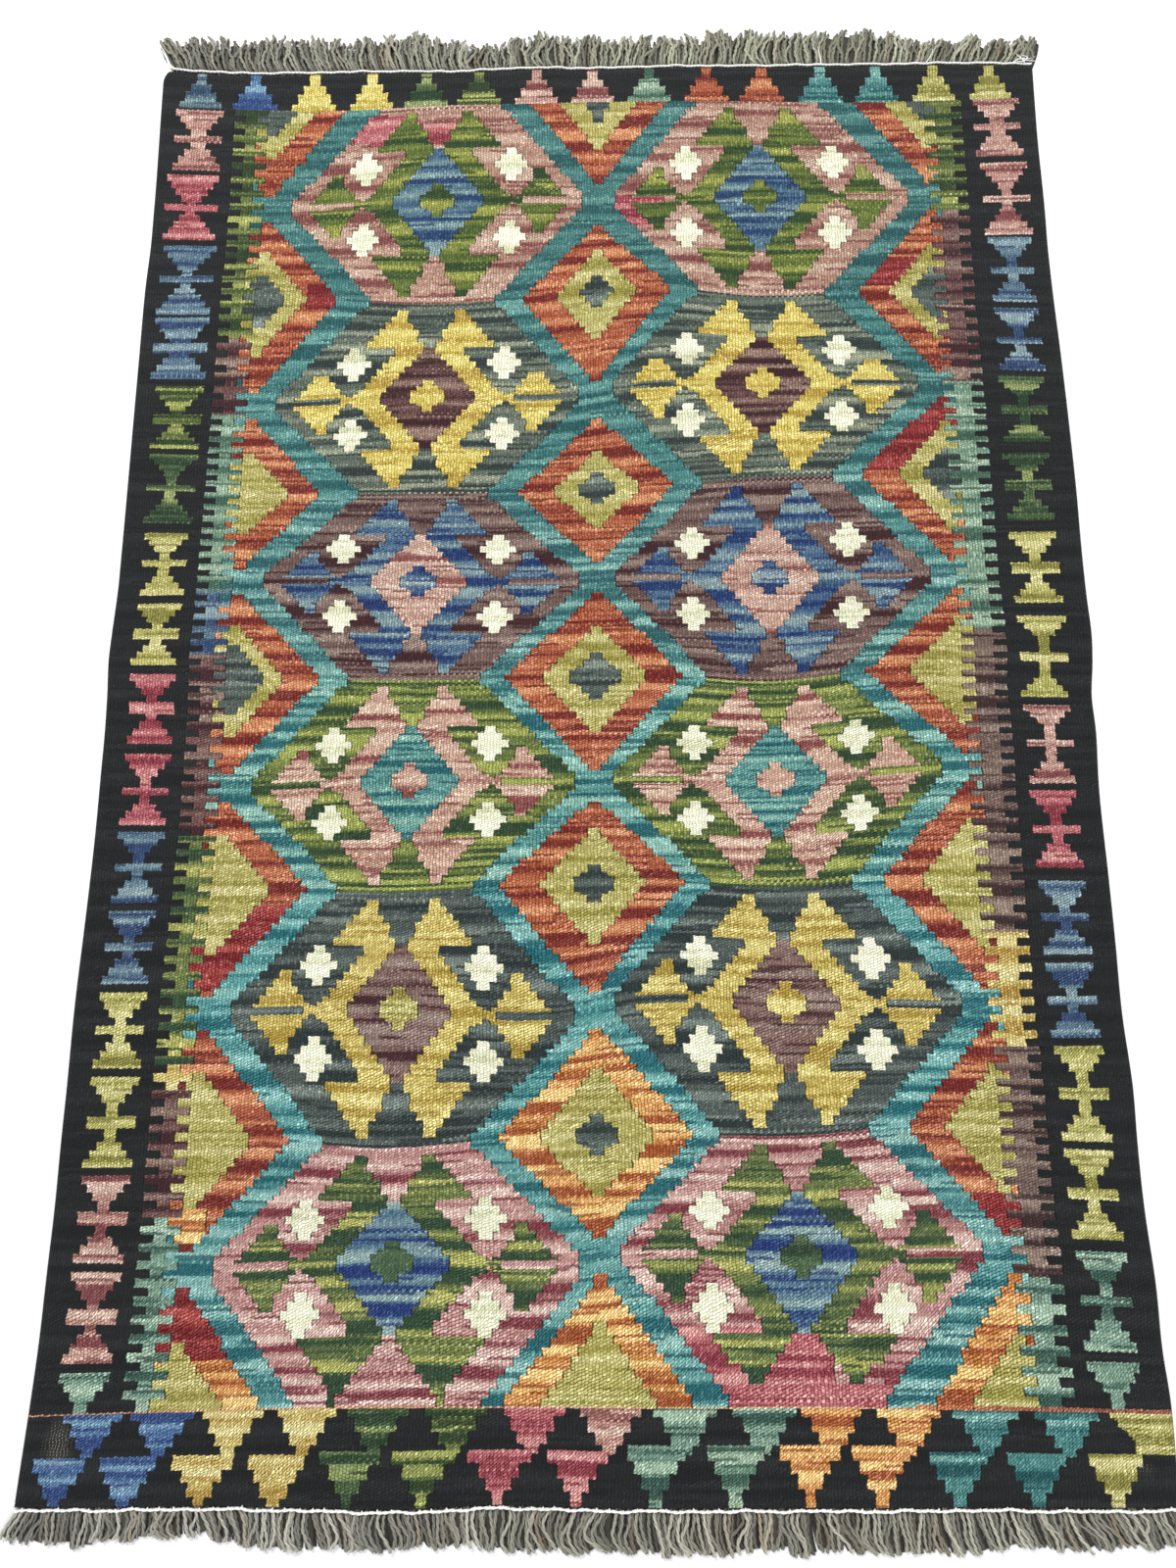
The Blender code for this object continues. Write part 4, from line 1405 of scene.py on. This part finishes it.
class Yarns:
    """Collects tubes and makes one mesh of them, with a tone for each point and two maps along the tubes."""

    def __init__(self):
        self.points, self.faces, self.tones, self.rings = [], [], [], []
        self.count = 0

    def add(self, path, radii, sides, tones, squash=1.0):
        """A closed tube along a path, in mm. Each ring's tone is given for each of its sides."""
        path = np.asarray(path, float)
        ahead, side = directions(path)
        side /= np.linalg.norm(side, axis=1, keepdims=True) + SMALLEST
        up = np.cross(side, ahead)
        angle = (2 * math.pi * np.arange(sides) / sides)[None, :, None]
        radii, squash = (np.broadcast_to(shape, (len(path),))[:, None, None] for shape in (radii, squash))
        ring = side[:, None] * np.cos(angle) + up[:, None] * np.sin(angle) * squash
        points = path[:, None] + ring * radii
        points[..., 2] = np.maximum(points[..., 2], LOWEST)
        first = self.count
        ids = first + np.arange(points.shape[0] * sides).reshape(-1, sides)
        after = np.roll(ids, -1, axis=1)
        quads = np.stack([ids[:-1], after[:-1], after[1:], ids[1:]], -1).reshape(-1, 4)
        self.points.append(points.reshape(-1, 3))
        self.tones.append(np.broadcast_to(tones, (len(path), sides, 3)).reshape(-1, 3))
        self.faces += [*quads.tolist(), ids[0].tolist(), ids[-1, ::-1].tolist()]
        self.rings.append((len(path), sides))
        self.count += points.shape[0] * sides

    def build(self, name, material):
        points = np.concatenate(self.points) - (BOX_MIDDLE_U / MM, BOX_MIDDLE_V / MM, 0)
        piece = add_piece(name, points * MM, self.faces, material)
        # The tone carries the painted shade of creases, undersides, roots, under strands and the mat, and the
        # painted light of raised strands.
        add_data(piece.data, "tone", "FLOAT_COLOR", opaque(linear(np.concatenate(self.tones))), "POINT")
        self.map(piece.data)
        return piece

    def map(self, mesh):
        """Lay every tube flat in a cell of its own."""
        across = math.ceil(math.sqrt(len(self.rings) / BAKE_CELLS_ASPECT)) * BAKE_CELLS_ASPECT
        down = math.ceil(len(self.rings) / across)
        yarn, baked = [], []
        for index, (length, sides) in enumerate(self.rings):
            steps = np.arange(length - 1)[:, None] + np.zeros(sides)[None]
            turns = np.arange(sides)[None] + np.zeros(length - 1)[:, None]
            corners = np.stack([
                np.stack([turns + right, steps + up], -1) for right, up in ((0, 0), (1, 0), (1, 1), (0, 1))
            ], 2).reshape(-1, 2)
            ends = np.array([[turn / sides, place] for place in (0.0, 1.0) for turn in range(sides)])
            flat = np.concatenate([corners / (sides, length - 1), ends])
            yarn.append(flat * YARN_MAP_SIZE + (index * YARN_MAP_APART[0], index * YARN_MAP_APART[1]))
            cell = (index % across, index // across)
            baked.append((flat * (1 - 2 * BAKE_CELL_INSET) + BAKE_CELL_INSET + cell) / (across, down))
        add_map(mesh, "Yarn", np.concatenate(yarn))
        add_map(mesh, "OFBake", np.concatenate(baked))
        mesh.uv_layers.active = mesh.uv_layers["Yarn"]


def spread_out(path, turn, offset):
    """Move a path sideways and up by an offset that turns round it."""
    ahead, side = directions(path)
    up = np.cross(side, ahead)
    return path + side * (np.cos(turn) * offset)[:, None] + up * (np.sin(turn) * offset)[:, None]


def between(low, share):
    """A factor that goes from low, where the share is 0, to 1."""
    return low + (1 - low) * share


def add_twist(yarns, path, turn, offset, radii, tone, crease, shade, squash=1.0):
    """Two strands that turn round each other. Painted shade darkens the crease between them."""
    sides = shade.shape[1]
    around = 2 * math.pi * np.arange(sides) / sides
    for half_turn in (0.0, math.pi):
        outwards = 0.5 + 0.5 * np.cos(around[None] - (turn + half_turn)[:, None])
        light = between(crease, outwards) * shade
        tones = np.array(tone, float)[None, None] * light[:, :, None]
        yarns.add(spread_out(path, turn + half_turn, offset), radii, sides, tones, squash)


def add_plied(yarns, path, length, fringe, tone, phase, sides):
    """A strand of two plies, flat at its root and thin at its tip, with painted shade at its root and
    underside.
    """
    along = np.linspace(0, 1, len(path))
    full = np.clip(along / PLY_ROOT_SHARE, 0, 1)
    near_tip = np.clip((along - (1 - PLY_TIP_SHARE)) / PLY_TIP_SHARE, 0, 1)
    taper = 1 - (1 - fringe.thin_tip) * near_tip**PLY_TIP_ROUNDNESS
    radii = PLY_RADIUS * fringe.thickness * between(PLY_ROOT_RADIUS, full) * taper
    offset = PLY_OFFSET * between(PLY_ROOT_OFFSET, full) * between(PLY_TIP_OFFSET, taper)
    turn = phase + 2 * math.pi * along * length / TWIST_PITCH
    upwards = 0.5 + 0.5 * np.sin(2 * math.pi * np.arange(sides) / sides)[None]
    # Painted shade on the plies' underside and at their root below the cord.
    shade = between(UNDERSIDE_SHADE, upwards) * between(ROOT_SHADE, full)[:, None]
    # The crease between the plies gets painted shade too.
    add_twist(yarns, path, turn, offset, radii, tone, PLY_CREASE_SHADE, shade, between(PLY_FLATNESS, full))


def fringe_tufts(chance, tuft):
    """The strands' numbers, tuft by tuft."""
    index, tufts = 0, []
    while index < STRAND_COUNT:
        size = chance.randint(*tuft)
        tufts.append(range(index, min(index + size, STRAND_COUNT)))
        index += size
    return tufts


# What a tuft and a strand have of their own: places and lengths in mm, and the share of the left tone.
Tuft = namedtuple("Tuft", "numbers middle length bends")
Strand = namedtuple(
    "Strand", "u root_u stitch length lean tuft_middle left_side bends curl wave_phase stray rise lift"
)


def draw_tuft(chance, fringe, numbers):
    """A tuft's own middle, length and bends, for the strands with these numbers."""
    middle = (numbers[0] + numbers[-1] + 1) / 2
    length = chance.gauss(0, fringe.tuft_length)
    bends = (chance.gauss(0, fringe.tuft_bend), chance.gauss(0, fringe.tuft_bend * SECOND_BEND_SHARE))
    return Tuft(numbers, middle, length, bends)


def draw_strand(chance, fringe, tuft, index):
    """A strand's place, and its own differences from the others of its tuft."""
    u = (index + 0.5) * STRAND_PITCH
    left_side = np.clip(1 - u / LEFT_SIDE_REACH, 0, 1)
    from_middle = abs(index + 0.5 - tuft.middle) / len(tuft.numbers) * 2
    length = float(read(fringe.rows, "length", u)) + tuft.length + chance.gauss(0, fringe.own_length)
    length += fringe.head * (HEAD_MIDDLE - from_middle**2)
    curl = chance.gauss(0, fringe.curl)
    wave_phase = chance.uniform(0, ANY_TURN)
    bends = [bend + chance.gauss(0, fringe.own_bend) for bend in tuft.bends]
    stray = chance.uniform(-STRAY_REACH, STRAY_REACH) if chance.random() < STRAY_SHARE else 0.0
    return Strand(
        u=u, root_u=u + corner_cut(u) * fringe.far, length=length,
        stitch=(index // STRANDS_A_STITCH + 0.5) * STRANDS_A_STITCH * STRAND_PITCH,
        lean=read(fringe.rows, ("root", "middle", "tip"), [u])[0], tuft_middle=tuft.middle * STRAND_PITCH,
        left_side=left_side, bends=bends, curl=curl, wave_phase=wave_phase, stray=stray,
        rise=chance.uniform(0, 1) * RISE + (STRAY_RISE if stray else 0),
        lift=chance.uniform(*LIFTS) * fringe.lift * between(RIGHT_LIFT, left_side),
    )


def strand_path(fringe, strand, layer, u, length, sideways, rise=0.0):
    """A strand's centre line: it leans as its fringe does there, with its own bends on top."""
    along = np.linspace(0, 1, layer.steps)
    slope = np.interp(along, LEAN_PLACES, strand.lean)
    out = STRAND_START + along * (length - STRAND_START)
    shift = np.concatenate([[0], np.cumsum((slope[1:] + slope[:-1]) / 2 * np.diff(out))])
    u_path = u + shift + sideways
    end = end_reach(np.clip(u_path * TIP_HOLD + u * ROOT_HOLD, 0, WIDTH_MM), fringe.far)
    v_path = end + out if fringe.far else end - out
    up = (layer.rise + rise) * np.clip(along / layer.rise_share, 0, 1)
    height = layer.height + up + strand.lift * layer.lift * np.sin(math.pi * along**LIFT_ROUNDNESS)
    return np.stack([u_path, v_path, height], 1)


def add_upper_strand(yarns, chance, fringe, strand):
    """A strand on top of its tuft. Returns its path and its tone."""
    along = np.linspace(0, 1, UPPER_LAYER.steps)
    root = (strand.stitch - strand.u) * STITCH_GATHER * np.exp(-along * STITCH_FADING)
    tip = (strand.tuft_middle - strand.u) * fringe.tip_gather * along**2
    own = strand.bends[0] * np.sin(math.pi * along) + strand.bends[1] * np.sin(2 * math.pi * along)
    waves = 2 * math.pi * along * strand.length / CRIMP_PITCH + strand.wave_phase
    wave = fringe.crimp * along * np.sin(waves)
    sideways = root + tip + own + wave + strand.stray * along + strand.curl * along**4
    path = strand_path(fringe, strand, UPPER_LAYER, strand.root_u, strand.length, sideways, strand.rise)
    warm = chance.random() ** WARM_RARITY
    tone = np.array(fringe.tone_l) * strand.left_side + np.array(fringe.tone_r) * (1 - strand.left_side)
    tone = (tone * (1 - warm) + np.array(fringe.brown) * warm) * chance.uniform(*STRAND_TONES)
    # Painted light on strands that rise higher, painted shade on low ones.
    tone = tone * min(BRIGHTEST_RISE, LOW_RISE_SHADE + RISE_LIGHT * strand.rise)
    add_plied(yarns, path, strand.length, fringe, tone, chance.uniform(0, ANY_TURN), UPPER_LAYER.sides)
    return path, tone


def add_under_strand(yarns, chance, fringe, strand, tone):
    """A strand that lies lower, between two upper ones, and is darkened by painted shade."""
    along = np.linspace(0, 1, UNDER_LAYER.steps)
    own_bend = chance.gauss(0, fringe.own_bend)
    u = strand.root_u + STRAND_PITCH / 2
    length = strand.length - chance.uniform(*UNDER_SHORT)
    bend = (strand.bends[0] * UNDER_SHARE + own_bend) * np.sin(math.pi * along)
    gather = (strand.tuft_middle - u) * fringe.tip_gather * UNDER_SHARE * along**2
    sideways = bend + gather - strand.curl * UNDER_SHARE * along**4
    path = strand_path(fringe, strand, UNDER_LAYER, u, length, sideways)
    # The lower strand gets painted shade.
    tone = tone * chance.uniform(*fringe.under_tones)
    add_plied(yarns, path, length, fringe, tone, chance.uniform(0, ANY_TURN), UNDER_LAYER.sides)


def add_mat(yarns, fringe, strand, tone):
    """A flat band darkened by painted shade, which closes the gaps between the strands."""
    length = strand.length - fringe.mat_short
    path = strand_path(fringe, strand, MAT_LAYER, strand.root_u + STRAND_PITCH, length, 0.0)
    # The mat is darkened by painted shade.
    tone = (tone + np.array(fringe.brown)) / 2 * fringe.mat_share
    yarns.add(path, MAT_RADIUS, MAT_LAYER.sides, tone, squash=MAT_FLATNESS)


def add_hair(yarns, chance, path, tone, far):
    """One fine loose fibre that stands off a strand."""
    start = path[chance.randrange(2, len(path) - 1)]
    turn = chance.uniform(-HAIR_TURN, HAIR_TURN)
    reach = chance.uniform(*HAIR_REACHES)
    outwards = 1 if far else -1
    ends = np.array([math.sin(turn) * reach, math.cos(turn) * reach * outwards, chance.uniform(*HAIR_RISES)])
    bend = np.array([chance.uniform(-1, 1), chance.uniform(-1, 1), chance.uniform(0, 1)])
    along = np.linspace(0, 1, len(HAIR_RADII))[:, None]
    hair = start + ends * along + bend * np.sin(math.pi * along) + (0, 0, HAIR_START)
    hair[:, 2] = np.maximum(hair[:, 2], HAIR_LOWEST)
    yarns.add(hair, HAIR_RADII, HAIR_SIDES, np.array(tone, float) * HAIR_TONE)


def build_fringe(fringe, material):
    """All the strands of one end, tuft by tuft: upper and under ones, and a mat in painted shade that fills
    the gaps.
    """
    chance = random.Random(fringe.seed)
    yarns = Yarns()
    upper = []
    for numbers in fringe_tufts(chance, fringe.tuft):
        tuft = draw_tuft(chance, fringe, numbers)
        for index in numbers:
            strand = draw_strand(chance, fringe, tuft, index)
            path, tone = add_upper_strand(yarns, chance, fringe, strand)
            add_under_strand(yarns, chance, fringe, strand, tone)
            if index % 2 == 0:
                add_mat(yarns, fringe, strand, tone)
            upper.append((path, tone))
    for _ in range(fringe.hairs):
        path, tone = chance.choice(upper)
        add_hair(yarns, chance, path, tone, fringe.far)
    return yarns.build("fringe_far_yarns" if fringe.far else "fringe_near_yarns", material)


def cord_line(cord, chance):
    """The cord's centre line, which wavers a little along the cloth's end."""
    first = CORNER_CUT if cord.far else 0.0
    u = np.arange(first - CORD_PAST_END, WIDTH_MM + CORD_PAST_END, CORD_STEP)
    out = CORD_OUT + end_reach(np.clip(u, 0, WIDTH_MM), cord.far) * (1 if cord.far else -1)
    for pitch in CORD_WAVE_PITCHES:
        out += cord.wave * CORD_WAVE_SHARE * np.sin(2 * math.pi * u / pitch + chance.uniform(0, ANY_TURN))
    z = CORD_Z + CORD_RISE * np.sin(2 * math.pi * u / CORD_RISE_PITCH)
    return np.stack([u, out if cord.far else -out, z], 1)


def add_barbs(yarns, chance, cord, line):
    """The stitches' short barbs towards the cloth."""
    inwards = -1 if cord.far else 1
    u = cord.barb_step / 2
    while cord.barb_step and u < WIDTH_MM:
        start = line[min(int((u - line[0, 0]) / CORD_STEP), len(line) - 1)]
        reach = chance.uniform(*BARB_REACHES)
        tip = start + (chance.uniform(*BARB_SLANTS), inwards * reach, BARB_RISE)
        middle = (start + tip) / 2 + BARB_BEND
        yarns.add([start, middle, tip], BARB_RADII, BARB_SIDES, COTTON)
        u += cord.barb_step + chance.uniform(-BARB_SHIFT, BARB_SHIFT)


def add_loose_end(yarns, end):
    points = np.array(end.points, float)
    fine = np.linspace(0, len(points) - 1, 4 * len(points))
    path = smooth(np.arange(len(points)), points, fine)
    reach = end_reach(np.clip(path[:, 0], 0, WIDTH_MM), end.far)
    path[:, 1] = reach + path[:, 1] if end.far else reach - path[:, 1]
    radii = end.radius * (1 - LOOSE_TAPER * np.linspace(0, 1, len(path)) ** 2)
    yarns.add(path, radii, LOOSE_SIDES, COTTON)


def build_cord(cord, material):
    """Two strands twisted together, the stitches' barbs towards the cloth, and the loose ends."""
    chance = random.Random(cord.seed)
    yarns = Yarns()
    line = cord_line(cord, chance)
    turn = 2 * math.pi * line[:, 0] / cord.pitch
    swell = 1 + KNOT_SWELL * np.sin(2 * math.pi * line[:, 0] / cord.knot_step)
    offset = np.full(len(line), cord.offset)
    shade = np.ones((len(line), CORD_SIDES))
    # Painted shade in the crease between the two strands.
    add_twist(yarns, line, turn, offset, cord.radius * swell, COTTON, CORD_CREASE_SHADE, shade)
    add_barbs(yarns, chance, cord, line)
    for end in LOOSE_ENDS:
        if end.far == cord.far:
            add_loose_end(yarns, end)
    return yarns.build("cord_far" if cord.far else "cord_near", material)


def add_camera():
    """The photo's view, from above the near half, with its whole picture 1200 by 1600 pixels."""
    data = bpy.data.cameras.new("camera")
    data.sensor_fit = "VERTICAL"
    data.sensor_height = CAMERA_SENSOR
    data.lens = CAMERA_LENS
    camera = add_object("camera", data)
    camera.location = CAMERA_PLACE
    camera.rotation_euler = [math.radians(angle) for angle in CAMERA_TURN]
    bpy.context.scene.camera = camera


def add_lamp(lamp):
    data = bpy.data.lights.new(lamp.name, "AREA")
    data.shape = "RECTANGLE"
    data.size, data.size_y = lamp.size
    data.energy = lamp.power
    thing = add_object(lamp.name, data)
    thing.location = lamp.place
    direction = Vector(lamp.aim) - Vector(lamp.place)
    thing.rotation_euler = direction.to_track_quat("-Z", "Y").to_euler()


def build_stage():
    bpy.ops.mesh.primitive_plane_add(size=FLOOR_SIZE, location=(0.0, 0.0, FLOOR_Z))
    floor = bpy.context.object
    floor.name = "floor"
    floor.data.materials.append(floor_material())

    for lamp in LAMPS:
        add_lamp(lamp)
    world = bpy.data.worlds.new("studio")
    world.use_nodes = True
    colour, strength = world.node_tree.nodes["Background"].inputs[:2]
    colour.default_value = (1.0, 1.0, 1.0, 1.0)
    strength.default_value = WORLD_STRENGTH
    bpy.context.scene.world = world
    bpy.context.scene.view_settings.view_transform = "Standard"


def main():
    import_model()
    add_camera()
    build_stage()

    cloth = build_cloth(paint_chart())
    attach(cloth, "root")
    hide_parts("rug_cloth")

    wool = yarn_material("warp_wool")
    for fringe, node in ((NEAR_FRINGE, "fringe_near"), (FAR_FRINGE, "fringe_far")):
        piece = build_fringe(fringe, wool)
        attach(piece, "root")
        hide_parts(node)
    cotton = yarn_material("white_cotton")
    for cord, node in ((NEAR_CORD, "twine_near"), (FAR_CORD, "twine_far")):
        piece = build_cord(cord, cotton)
        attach(piece, "root")
        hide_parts(node)


main()
